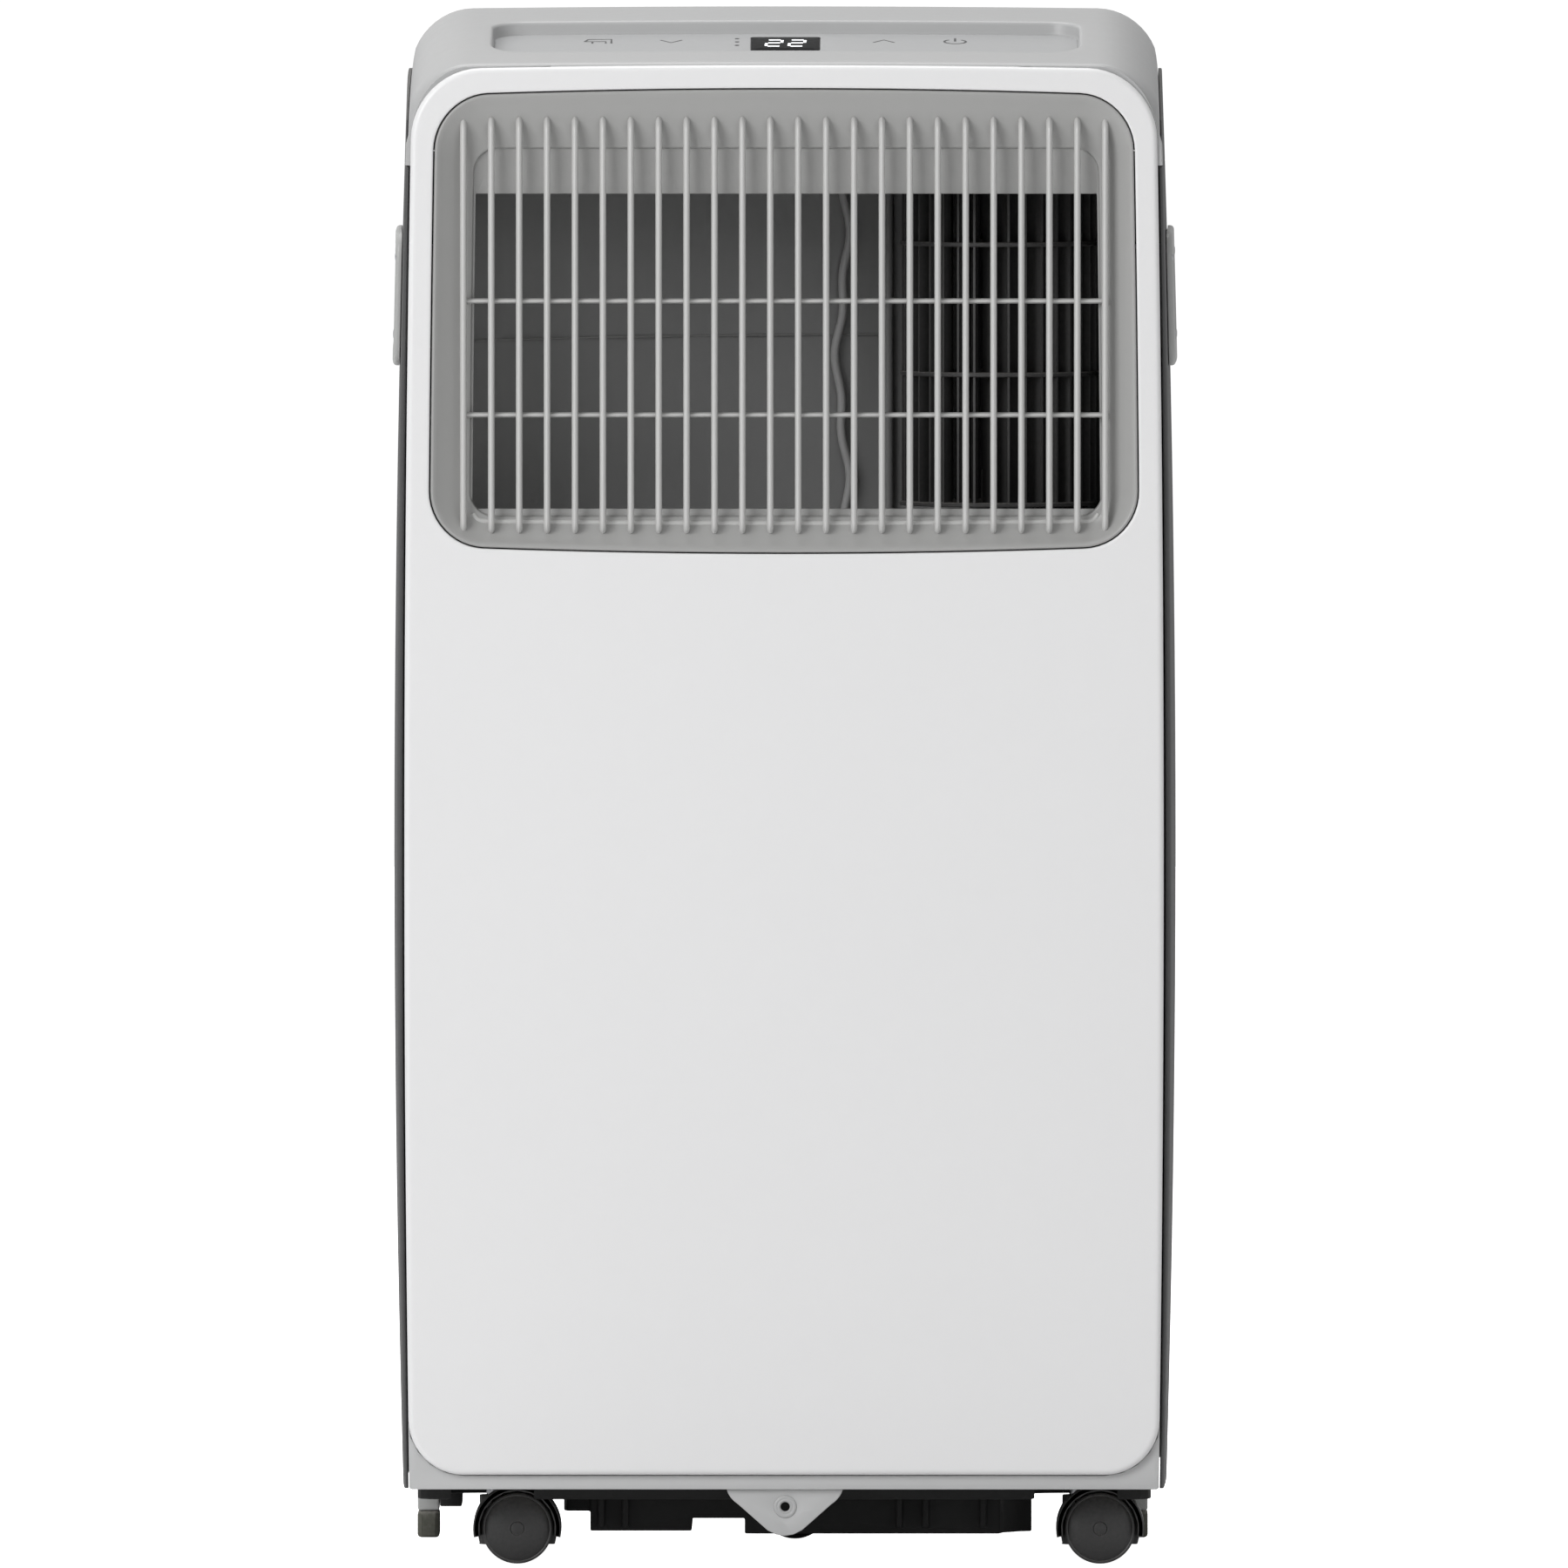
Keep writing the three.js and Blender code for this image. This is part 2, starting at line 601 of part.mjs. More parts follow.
function cordGland() {
  const stem = solid(lengthwise(CORD.r - 0.2, CORD.x, CORD.z, 158, 170, 20));
  const head = solid(lengthwise(CORD.r + 4, CORD.x, CORD.z, BACK_WALL_Y + GAP, REAR_Y, 20));
  return cut(joined(stem, head), solid(lengthwise(3.7, CORD.x, CORD.z, 150, 180, 16)));
}

const FOOT_HOLES = [[-95, -124], [-142, -42], [-48, -42]];

// Base pan: a ribbed black tray with a stepped sump below it and sockets for the castors.
function basePan() {
  const tray = cut(
    solid(slab(roundedPoints(-166, 166, -144, 158, 10, 20, 3), 30, 56)),
    solid(slab(roundedPoints(-163, 163, -141, 155, 7, 17, 3), 33, 70)));
  const sump = [
    block(-88, -42, -112, 96, 14.3, 31), block(-44, -16, -112, 96, 20, 31), block(-18, 112, -112, 96, 13, 31),
    block(-100, -86, -106, 96, 23, 31),
  ];
  const ribs = [-83, -72, 52, 64, 90].map((x) => block(x - 1.5, x + 1.5, -118, 96, 16, 31));
  const stub = block(-158, -148, 90, 140, 16, 31);
  const stands = FOOT_HOLES.map(([x, y]) => solid(upright(6, x, y, 31, 52, 10)));
  const studs = FOOT_HOLES.map(([x, y]) => solid(upright(2.6, x, y, 50, 72, 8)));
  const spots = Object.values(CASTORS);
  const footprint = block(-166, 166, -144, 158, 29, 41);
  const domes = spots.map(([x, y]) => solid(upright(37.5, x, y, 30, 40, 16)).intersect(footprint));
  const wells = spots.map(([x, y]) => solid(upright(35, x, y, 0, 37, 16)));
  const sockets = spots.map(([x, y]) => solid(upright(9, x, y, 37, 50, 12)));
  const bores = spots.map(([x, y]) => solid(upright(4.4, x, y, 20, 47.5, 10)));
  const body = joined(tray, ...sump, ...ribs, stub, ...domes);
  return cut(joined(cut(body, ...wells), ...sockets, ...stands, ...studs), ...bores);
}

// Castor: a hood with a web and stem boss between two wheels, on a steel stem that turns in the base pan.
function castorYoke(x, y) {
  const wheelX = x + TRAIL;
  const sweep = Math.PI + 0.4;
  const arc = (radius, k) => {
    const angle = -0.2 + sweep * (k / 10);
    return vector(radius * Math.cos(angle), radius * Math.sin(angle));
  };
  const rim = Array.from({ length: 11 }, (_, k) => arc(20, k));
  const inner = Array.from({ length: 11 }, (_, k) => arc(17.2, 10 - k));
  const hood = plate([...rim, ...inner], y - 13.6, y + 13.6);
  hood.translate(wheelX, 0, WHEEL_R);
  const web = cut(
    solid(lengthwise(18.5, wheelX, WHEEL_R, y - 2, y + 2, 16)),
    block(wheelX - 30, wheelX + 30, y - 5, y + 5, -10, 8.5));
  const boss = solid(upright(6.2, x, y, 8.5, 31, 12));
  const room = [y - 20, y + 6.6].map((low) => solid(lengthwise(17, wheelX, WHEEL_R, low, low + 13.4, 16)));
  const bore = solid(upright(3.3, x, y, 11, 40, 10));
  const axleHole = solid(lengthwise(2.6, wheelX, WHEEL_R, y - 8, y + 8, 10));
  const core = cut(joined(web, boss), ...room);
  return cut(joined(core, solid(hood)), bore, axleHole);
}

function castorStem(x, y) {
  return turnedUp([
    [0, 11.6], [3, 11.6], [3, 36.1], [5.5, 36.1], [5.5, 36.7], [4, 36.7], [4, 46], [0, 47],
  ], x, y, 10);
}

function castorWheels(x, y) {
  const wheelX = x + TRAIL;
  const profile = [[0, 7], [14.8, 7], [16, 8], [16, 10.8], [14.2, 12.2], [0, 13.2]];
  const disc = (sign) => {
    const points = profile.map(([r, off]) => vector(r, sign * off));
    const geometry = new THREE.LatheGeometry(sign > 0 ? points : points.reverse(), 20);
    geometry.translate(wheelX, y, WHEEL_R);
    return solid(geometry);
  };
  return joined(disc(1), disc(-1), solid(lengthwise(2.3, wheelX, WHEEL_R, y - 8, y + 8, 10)));
}

// Blower housing: floor, ceiling, the volute wall behind the wheel and the small cut-off wall beside it.
function voluteLine() {
  return new THREE.CatmullRomCurve3([
    new THREE.Vector3(-148, -145.6, 0), new THREE.Vector3(-132, -108, 0), new THREE.Vector3(-96, -70, 0),
    new THREE.Vector3(-40, -36, 0), new THREE.Vector3(20, -14, 0), new THREE.Vector3(72, -6, 0),
    new THREE.Vector3(112, -9, 0),
  ]).getPoints(14);
}

function ribbonPoints(line, thickness) {
  const offset = line.map((point, i) => {
    const before = line[Math.max(0, i - 1)];
    const after = line[Math.min(line.length - 1, i + 1)];
    const along = after.clone().sub(before).normalize();
    return vector(point.x - along.y * thickness, point.y + along.x * thickness);
  });
  return [...line.map((point) => vector(point.x, point.y)), ...offset.reverse()];
}

const HOUSING = { low: 466, high: 664, skin: 2.5 };

function blowerHousing() {
  const edge = [
    vector(-154, -145.6), vector(154, -145.6), vector(158, -60), vector(158, 52), vector(-158, 52),
    vector(-158, -100),
  ];
  const floor = solid(slab(edge, HOUSING.low, HOUSING.low + HOUSING.skin));
  const roof = solid(slab(edge, HOUSING.high - HOUSING.skin, HOUSING.high));
  const volute = solid(slab(ribbonPoints(voluteLine(), 2.5), HOUSING.low + 1, HOUSING.high - 1));
  const cutOff = solid(slab([
    vector(151, -145.6), vector(153.5, -145.6), vector(153.5, -100), vector(149, -84), vector(146.8, -86),
    vector(151, -102),
  ], HOUSING.low + 1, HOUSING.high - 1));
  const shaftHole = solid(upright(7, BLOWER.x, BLOWER.y, HOUSING.low - 5, HOUSING.low + 5, 16));
  const bearing = solid(upright(3.4, BLOWER.x, BLOWER.y, HOUSING.high - 5, HOUSING.high + 5, 16));
  return cut(joined(floor, roof, volute, cutOff), shaftHole, bearing);
}

// Cross-flow wheel: four discs joined by curved blades, on stub shafts.
function crossFlowWheel() {
  const { x, y, r, bottom, top } = BLOWER;
  const gap = (top - bottom) / 3;
  const rings = [0, 1, 2, 3].map((k) => {
    const low = bottom + gap * k - (k === 3 ? 2 : 0);
    const disc = solid(upright(r, x, y, low, low + 2, 24));
    return k % 3 === 0 ? disc : cut(disc, solid(upright(r - 14, x, y, low - 1, low + 3, 12)));
  });
  const blades = [];
  const count = 10;
  for (let i = 0; i < count; i += 1) {
    const blade = slab([
      vector(r - 12.6, -1), vector(r - 0.8, -2.6), vector(r - 0.8, -1), vector(r - 12.6, 0.6),
    ], bottom + 1, top - 1);
    blade.rotateZ((2 * Math.PI * i) / count);
    blade.translate(x, y, 0);
    blades.push(solid(blade));
  }
  const shaft = solid(upright(3, x, y, top - 1, HOUSING.high + 1, 12));
  const hub = solid(upright(9, x, y, bottom + 1, bottom + 16, 12));
  const socket = solid(upright(3.3, x, y, bottom - 5, bottom + 12, 12));
  return cut(joined(rings[0], rings[1], rings[2], rings[3], ...blades, shaft, hub), socket);
}

function blowerMotor() {
  return turnedUp([
    [0, 404], [12, 404], [12, 408], [32, 408], [34, 411], [34, 452], [30, 457], [12, 457], [12, 463], [3, 463],
    [3, 488], [0, 488],
  ], BLOWER.x, BLOWER.y, 20);
}

// Condensate deck between the machinery below and the cold side above.
const DECK = { low: 441, floor: 444, rim: 456 };

function midDeck() {
  const points = roundedPoints(-162, 162, -144, 148, 8, 20, 3);
  const inner = roundedPoints(-159.5, 159.5, -141.5, 145.5, 6, 17, 3);
  const tray = cut(solid(slab(points, DECK.low, DECK.rim)), solid(slab(inner, DECK.floor, DECK.rim + 5)));
  const motorHole = solid(upright(36, BLOWER.x, BLOWER.y, DECK.low - 5, DECK.rim + 5, 24));
  const pipeSlot = block(-157, -138, 30, 130, DECK.low - 5, DECK.rim + 1);
  return cut(tray, motorHole, pipeSlot);
}

// Fin-and-tube coil: a fin pack between end plates with rows of return bends.
function coil(left, right, front, back, low, high, bends) {
  const pack = block(left, right, front, back, low, high);
  const plates = [block(left - 1.2, left + 0.5, front - 3, back + 3, low - 2, high + 2),
    block(right - 0.5, right + 1.2, front - 3, back + 3, low - 2, high + 2)];
  const loops = [];
  const pitch = (high - low) / bends;
  for (let i = 0; i < bends; i += 1) {
    const z = low + pitch * (i + 0.5);
    const middle = (front + back) / 2;
    loops.push(block(right, right + 7, middle - 11, middle - 4, z - 9, z + 9));
    loops.push(block(right, right + 7, middle + 4, middle + 11, z - 9, z + 9));
  }
  return joined(pack, ...plates, ...loops);
}

// Condenser fan: scroll housing, backward wheel and motor.
function scrollPoints(grow) {
  const points = [];
  const start = 0.35;
  for (let k = 0; k <= 20; k += 1) {
    const angle = start - (k / 20) * (2 * Math.PI - 0.35);
    const radius = 74 + 22 * (k / 20) + grow;
    points.push(vector(FAN.x + radius * Math.cos(angle), FAN.z + radius * Math.sin(angle)));
  }
  return points.reverse();
}

function fanScroll() {
  const outer = joined(solid(plate(scrollPoints(2.5), 20, 84)), block(32, 118, 20, 84, 200, 296));
  const inner = joined(solid(plate(scrollPoints(0), 22.5, 81.5)), block(34.5, 115.5, 22.5, 81.5, 205, 305));
  const inlet = solid(lengthwise(54, FAN.x, FAN.z, 70, 100, 32));
  const shaftHole = solid(lengthwise(14, FAN.x, FAN.z, 10, 30, 16));
  return cut(outer, inner, inlet, shaftHole);
}

function fanWheel() {
  const { x, z, r, front, back } = FAN;
  const disc = solid(lengthwise(r, x, z, front, front + 2.5, 24));
  const ring = cut(
    solid(lengthwise(r, x, z, back - 3, back, 24)),
    solid(lengthwise(r - 13, x, z, back - 6, back + 3, 24)));
  const blades = [];
  const count = 12;
  for (let i = 0; i < count; i += 1) {
    const blade = plate([
      vector(r - 13.5, -1.5), vector(r - 0.9, 3), vector(r - 1.2, 4.6), vector(r - 13.5, 0.2),
    ], front + 1, back - 1);
    blade.rotateY((2 * Math.PI * i) / count);
    blade.translate(x, 0, z);
    blades.push(solid(blade));
  }
  const hub = solid(lengthwise(12, x, z, front - 2, front + 16, 16));
  const bore = solid(lengthwise(4.4, x, z, front - 10, front + 12, 12));
  return cut(joined(disc, ring, ...blades, hub), bore);
}

function fanMotor() {
  const profile = [
    [0, -44], [14, -44], [14, -40], [34, -40], [36, -37], [36, 8], [32, 12], [12, 12], [12, 24.5], [4, 24.5],
    [4, 38], [0, 38],
  ];
  const geometry = new THREE.LatheGeometry(profile.map(([r, y]) => vector(r, y)), 20);
  geometry.translate(FAN.x, 0, FAN.z);
  const foot = block(FAN.x - 24, FAN.x + 24, -30, -2, 34, FAN.z - 20);
  return joined(solid(geometry), foot);
}

// Exhaust duct: leads the scroll's outlet up and back to the collar.
function exhaustDuct() {
  const outer = block(-72, 119, 20, 120, 297, 432);
  const inner = block(-69.5, 116.5, 22.5, 117.5, 299.5, 429.5);
  const inlet = block(35, 115, 23, 81, 290, 305);
  const outlet = solid(lengthwise(EXHAUST.bore + 1, EXHAUST.x, EXHAUST.z, 110, 130, 40));
  return cut(outer, inner, inlet, outlet);
}

// Rotary compressor on a triangular foot plate, with rubber grommets and a suction accumulator.

function compressor() {
  const { x, y, r, bottom, top } = COMPRESSOR;
  const can = solid(turnedUp([
    [0, bottom], [r - 12, bottom], [r, bottom + 10], [r, top - 14], [r - 14, top], [14, top + 5], [6, top + 6],
    [6, top + 16], [0, top + 16],
  ], x, y, 24));
  const foot = solid(slab([
    vector(x - 12, y - 66), vector(x + 12, y - 66), vector(x + 60, y + 24), vector(x + 50, y + 40),
    vector(x - 50, y + 40), vector(x - 60, y + 24),
  ], bottom - 4, bottom + 1));
  const holes = FOOT_HOLES.map(([holeX, holeY]) => solid(
    upright(6.3, holeX, holeY, bottom - 10, bottom + 5, 12)));
  return cut(joined(can, foot), ...holes);
}

function grommet(x, y) {
  return turnedUp([
    [3, 52.4], [9, 52.4], [9, 61.6], [5.9, 61.6], [5.9, 67.4], [8, 67.4], [8, 70], [3, 70], [3, 52.4],
  ], x, y, 10);
}

const ACCUMULATOR = { x: -20, y: -108 };

function accumulator() {
  const { x, y } = ACCUMULATOR;
  return turnedUp([
    [0, 96], [5, 96], [5, 104], [22, 114], [22, 228], [5, 238], [5, 246], [0, 246],
  ], x, y, 16);
}

function electricalBox() {
  const body = cut(block(24, 148, -142, -74, 196, 330), block(26.5, 145.5, -139.5, -70, 198.5, 327.5));
  const lid = block(25, 147, -76.5, -74, 197, 329);
  const entry = solid(lengthwise(6, 130, 214, -90, -60, 14));
  return cut(joined(body, lid), entry);
}

// Rear legs and pads that stop the case tipping back onto its corner.
function rearLeg(left, right) {
  return block(left, right, 108, 140, 13.4, 29.6);
}

function legPad(left, right) {
  return solid(slab(roundedPoints(left, right, 108, 140, 2, 2, 2), 1, 13));
}

const REAR_LEGS = { left: [-168.5, -158.4], right: [155.2, 165.3] };

add('front_panel', frontPanel(), 'white_plastic');
add('outlet_grille', outletGrille(), 'grille_grey_plastic');
add('front_frame', frontFrame(), 'light_grey_plastic');
add('top_cover', topCover(), 'light_grey_plastic');
add('control_film', controlFilm(), 'light_grey_plastic');
add('display_window', sheetOnRecess(displayPoints(0), RECESS.depth - 0.3, RECESS.depth - 1), 'black_gloss');
add('control_board', controlBoard(), 'board_green');
add('side_panel_right', sidePanel(), 'dark_grey_plastic');
add('side_panel_left', mirrored(sidePanel()), 'dark_grey_plastic');
add('upper_case', upperCase(), 'dark_grey_plastic');
add('rear_panel', rearPanel(), 'dark_grey_plastic');
add('handle_right', handle(), 'light_grey_plastic');
add('handle_left', mirrored(handle()), 'light_grey_plastic');
add('intake_grille_upper', intakeGrille(UPPER_INTAKE), 'dark_grey_plastic');
add('intake_grille_lower', intakeGrille(LOWER_INTAKE), 'dark_grey_plastic');
add('filter_upper', filterFrame(UPPER_INTAKE), 'mesh_grey');
add('filter_lower', filterFrame(LOWER_INTAKE), 'mesh_grey');
add('exhaust_collar', exhaustCollar(), 'dark_grey_plastic');
add('drain_plug_upper', drainPlug(DRAIN_UPPER), 'black_plastic');
add('drain_plug_lower', drainPlug(DRAIN_LOWER), 'black_plastic');
add('cord_gland', cordGland(), 'black_plastic');
add('base_pan', basePan(), 'black_plastic');
Object.entries(REAR_LEGS).forEach(([side, [left, right]]) => {
  add(`rear_leg_${side}`, rearLeg(left, right), 'light_grey_plastic');
  add(`leg_pad_${side}`, legPad(left, right), 'rubber');
});
Object.entries(CASTORS).forEach(([place, [x, y]]) => {
  add(`castor_yoke_${place}`, castorYoke(x, y), 'castor_plastic');
  add(`castor_stem_${place}`, castorStem(x, y), 'zinc_steel');
  add(`castor_wheels_${place}`, castorWheels(x, y), 'castor_plastic');
});
add('blower_housing', blowerHousing(), 'black_plastic');
add('cross_flow_wheel', crossFlowWheel(), 'black_plastic');
add('blower_motor', blowerMotor(), 'zinc_steel');
add('mid_deck', midDeck(), 'black_plastic');
add('evaporator_coil', coil(-142, 140, 66, 104, 466, 650, 4), 'fin_aluminium');
add('condenser_coil', coil(-140, 132, 96, 134, 62, 282, 4), 'fin_aluminium');
add('fan_scroll', fanScroll(), 'black_plastic');
add('condenser_fan', fanWheel(), 'black_plastic');
add('fan_motor', fanMotor(), 'zinc_steel');
add('exhaust_duct', exhaustDuct(), 'black_plastic');
add('compressor', compressor(), 'black_enamel');
add('accumulator', accumulator(), 'black_enamel');
FOOT_HOLES.forEach(([x, y], i) => add(`compressor_grommet_${i + 1}`, grommet(x, y), 'rubber'));
add('electrical_box', electricalBox(), 'zinc_steel');
const DISCHARGE_ROUTE = [
  [-95, -70, 279], [-95, -68, 300], [-120, -20, 312], [-150, 60, 300], [-154, 104, 280], [-152, 112, 262],
  [-143.4, 112, 257],
];
const SUCTION_ROUTE = [
  [-144.9, 80, 502], [-151, 80, 500], [-154, 76, 488], [-150, 62, 440], [-146, 30, 400], [-90, -40, 340],
  [-30, -100, 300], [-20, -108, 272], [-20, -108, 246.6],
];
const CAPILLARY_ROUTE = [
  [-143.4, 112, 84], [-150, 112, 88], [-156, 90, 150], [-157, 40, 250], [-157, 36, 330], [-152, 62, 420],
  [-150, 94, 470], [-150, 96, 506], [-144.6, 96, 518],
];
add('discharge_pipe', pipe(DISCHARGE_ROUTE, 3.5, 18), 'copper');
add('suction_pipe', pipe(SUCTION_ROUTE, 4.5, 22), 'copper');
add('capillary_pipe', pipe(CAPILLARY_ROUTE, 1.6, 20), 'copper');

export default unit;
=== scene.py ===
import math

import bmesh
import bpy
import numpy as np
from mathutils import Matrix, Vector


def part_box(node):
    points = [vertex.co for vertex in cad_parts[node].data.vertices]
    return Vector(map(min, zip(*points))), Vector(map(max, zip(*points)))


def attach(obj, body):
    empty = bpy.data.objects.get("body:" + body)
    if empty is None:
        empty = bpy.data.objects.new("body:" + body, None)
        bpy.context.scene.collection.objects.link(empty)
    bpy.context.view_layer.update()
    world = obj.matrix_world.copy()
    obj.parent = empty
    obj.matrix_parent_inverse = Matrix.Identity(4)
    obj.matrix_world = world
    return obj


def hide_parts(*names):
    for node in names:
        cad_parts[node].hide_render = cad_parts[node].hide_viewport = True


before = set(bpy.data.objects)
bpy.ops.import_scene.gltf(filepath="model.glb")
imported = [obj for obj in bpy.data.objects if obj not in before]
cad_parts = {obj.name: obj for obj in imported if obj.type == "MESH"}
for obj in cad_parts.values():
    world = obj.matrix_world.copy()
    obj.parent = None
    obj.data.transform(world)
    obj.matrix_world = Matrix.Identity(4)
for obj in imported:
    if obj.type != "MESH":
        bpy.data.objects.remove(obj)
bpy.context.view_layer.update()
scene = bpy.context.scene
scene.view_settings.view_transform = "Standard"
MM = 0.001


# ---- Camera ----
# A long lens looks at the front of the case almost level, from a little above the middle of the panel.
CAMERA_AZIMUTH, CAMERA_ELEVATION = math.radians(0.2), math.radians(1.9)
CAMERA_DISTANCE = 25.0
FRAME_WIDTH = 0.7085
CAMERA_AIM = Vector((0.0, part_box("front_panel")[0].y, 0.3549))
camera_data = bpy.data.cameras.new("studio_camera")
camera_data.sensor_width = 36
camera_data.lens = camera_data.sensor_width * CAMERA_DISTANCE / FRAME_WIDTH
camera_data.clip_start, camera_data.clip_end = 0.5, 200
camera = bpy.data.objects.new("studio_camera", camera_data)
scene.collection.objects.link(camera)
camera_back = Vector((
    math.sin(CAMERA_AZIMUTH) * math.cos(CAMERA_ELEVATION),
    -math.cos(CAMERA_AZIMUTH) * math.cos(CAMERA_ELEVATION),
    math.sin(CAMERA_ELEVATION),
))
camera.location = CAMERA_AIM + camera_back * CAMERA_DISTANCE
camera.rotation_mode = "QUATERNION"
camera.rotation_quaternion = (-camera_back).to_track_quat("-Z", "Y")
scene.camera = camera


# ---- Studio ----
# A white room with a big soft box to the front left and weaker ones elsewhere. The floor disc is lit by
# itself for the camera only, so it looks pure white and takes no shadow.
def studio_floor(radius, sides):
    mesh = bpy.data.meshes.new("studio_floor")
    rim = [(radius * math.cos(2 * math.pi * k / sides), radius * math.sin(2 * math.pi * k / sides), -0.0002)
           for k in range(sides)]
    mesh.from_pydata(rim, [], [list(range(sides))])
    paper = bpy.data.materials.new("floor_paper")
    paper.use_nodes = True
    shader = paper.node_tree.nodes["Principled BSDF"]
    shader.inputs["Base Color"].default_value = (0.8, 0.8, 0.8, 1)
    shader.inputs["Roughness"].default_value = 0.9
    shader.inputs["Specular IOR Level"].default_value = 0.1
    shader.inputs["Emission Color"].default_value = (1, 1, 1, 1)
    seen = paper.node_tree.nodes.new("ShaderNodeLightPath")
    paper.node_tree.links.new(seen.outputs["Is Camera Ray"], shader.inputs["Emission Strength"])
    mesh.materials.append(paper)
    floor = bpy.data.objects.new("studio_floor", mesh)
    scene.collection.objects.link(floor)


studio_floor(9.0, 96)

room = bpy.data.worlds.new("studio_room")
scene.world = room
room.use_nodes = True
room_nodes, room_links = room.node_tree.nodes, room.node_tree.links
room_light = room_nodes["Background"]
room_light.inputs["Color"].default_value = (1, 1, 1, 1)
room_light.inputs["Strength"].default_value = 0.45
room_seen = room_nodes.new("ShaderNodeBackground")
room_seen.inputs["Color"].default_value = (1, 1, 1, 1)
room_seen.inputs["Strength"].default_value = 1.05
room_ray = room_nodes.new("ShaderNodeLightPath")
room_mix = room_nodes.new("ShaderNodeMixShader")
room_links.new(room_ray.outputs["Is Camera Ray"], room_mix.inputs["Fac"])
room_links.new(room_light.outputs[0], room_mix.inputs[1])
room_links.new(room_seen.outputs[0], room_mix.inputs[2])
room_links.new(room_mix.outputs[0], room_nodes["World Output"].inputs["Surface"])

# name: place, point aimed at, width, height, watts
SOFT_BOXES = {
    "front_left_box": ((-2.0, -2.8, 1.8), (0, 0, 0.35), 1.6, 1.8, 66),
    "front_right_box": ((1.5, -3.1, 1.2), (0, 0, 0.35), 1.2, 1.6, 7),
    "overhead_box": ((-0.3, 0.3, 2.6), (0, 0, 0.5), 1.6, 1.2, 26),
    "rear_box": ((-1.6, 2.8, 1.8), (0, 0, 0.4), 1.6, 1.4, 42),
}
for box_name, (place, aim, width, height, watts) in SOFT_BOXES.items():
    soft_box = bpy.data.lights.new(box_name, "AREA")
    soft_box.shape, soft_box.size, soft_box.size_y, soft_box.energy = "RECTANGLE", width, height, watts
    stand = bpy.data.objects.new(box_name, soft_box)
    stand.location = place
    stand.rotation_mode = "QUATERNION"
    stand.rotation_quaternion = (Vector(aim) - Vector(place)).to_track_quat("-Z", "Y")
    stand.visible_glossy = box_name != "rear_box"
    scene.collection.objects.link(stand)


# ---- Base pan ----
# The black tray that everything stands on, moulded in one piece in glass-filled plastic, with a stepped
# sump under it that holds condensate and a round well for each castor.
def effect_group(name, inputs, outputs):
    tree = bpy.data.node_groups.new(name, "ShaderNodeTree")
    for label, kind, value in inputs:
        socket = tree.interface.new_socket(name=label, in_out="INPUT", socket_type=kind)
        socket.default_value = value
    for label, kind in outputs:
        tree.interface.new_socket(name=label, in_out="OUTPUT", socket_type=kind)
    return tree, tree.nodes.new("NodeGroupInput"), tree.nodes.new("NodeGroupOutput")


def worked(tree, operation, a, b=None, clamp=False):
    """A Math node in the tree on two sockets or numbers, whose result is returned."""
    node = tree.nodes.new("ShaderNodeMath")
    node.operation, node.use_clamp = operation, clamp
    for socket, value in zip(node.inputs, (a, b)):
        if isinstance(value, (int, float)):
            socket.default_value = value
        elif value is not None:
            tree.links.new(value, socket)
    return node.outputs[0]


def noise(tree, where, scale, detail, roughness=0.5):
    node = tree.nodes.new("ShaderNodeTexNoise")
    tree.links.new(where, node.inputs["Vector"])
    if isinstance(scale, (int, float)):
        node.inputs["Scale"].default_value = scale
    else:
        tree.links.new(scale, node.inputs["Scale"])
    node.inputs["Detail"].default_value = detail
    node.inputs["Roughness"].default_value = roughness
    return node.outputs["Fac"]


FLOAT, COLOUR = "NodeSocketFloat", "NodeSocketColor"

# Spark-eroded mould grain: fine pits over a slightly uneven skin.
grain, g_in, g_out = effect_group(
    "moulded_grain", [("Grain", FLOAT, 2500.0), ("Waviness", FLOAT, 0.2)],
    [("Height", FLOAT), ("Mottle", FLOAT)])
where = grain.nodes.new("ShaderNodeTexCoord").outputs["Object"]
pits = noise(grain, where, g_in.outputs["Grain"], 2.0, 0.6)
wave = noise(grain, where, 22.0, 2.0)
grain.links.new(worked(grain, "ADD", pits, worked(grain, "MULTIPLY", wave, g_in.outputs["Waviness"])),
                g_out.inputs["Height"])
grain.links.new(noise(grain, where, 140.0, 4.0, 0.65), g_out.inputs["Mottle"])

# Handling wear: a mask that is strong on outer edges and breaks up along them.
wear, w_in, w_out = effect_group("edge_wear", [("Radius", FLOAT, 0.0008), ("Amount", FLOAT, 0.5)],
                                 [("Mask", FLOAT)])
rounded = wear.nodes.new("ShaderNodeBevel")
rounded.samples = 4
wear.links.new(w_in.outputs["Radius"], rounded.inputs["Radius"])
flat = wear.nodes.new("ShaderNodeNewGeometry")
facing = wear.nodes.new("ShaderNodeVectorMath")
facing.operation = "DOT_PRODUCT"
wear.links.new(rounded.outputs["Normal"], facing.inputs[0])
wear.links.new(flat.outputs["Normal"], facing.inputs[1])
bent = worked(wear, "SUBTRACT", 1.0, facing.outputs["Value"], clamp=True)
where = wear.nodes.new("ShaderNodeTexCoord").outputs["Object"]
broken = worked(wear, "MULTIPLY_ADD", noise(wear, where, 90.0, 3.0, 0.7), 1.4)
worn = worked(wear, "MULTIPLY", worked(wear, "MULTIPLY", bent, 5.0, clamp=True), broken)
wear.links.new(worked(wear, "MULTIPLY", worn, w_in.outputs["Amount"], clamp=True), w_out.inputs["Mask"])

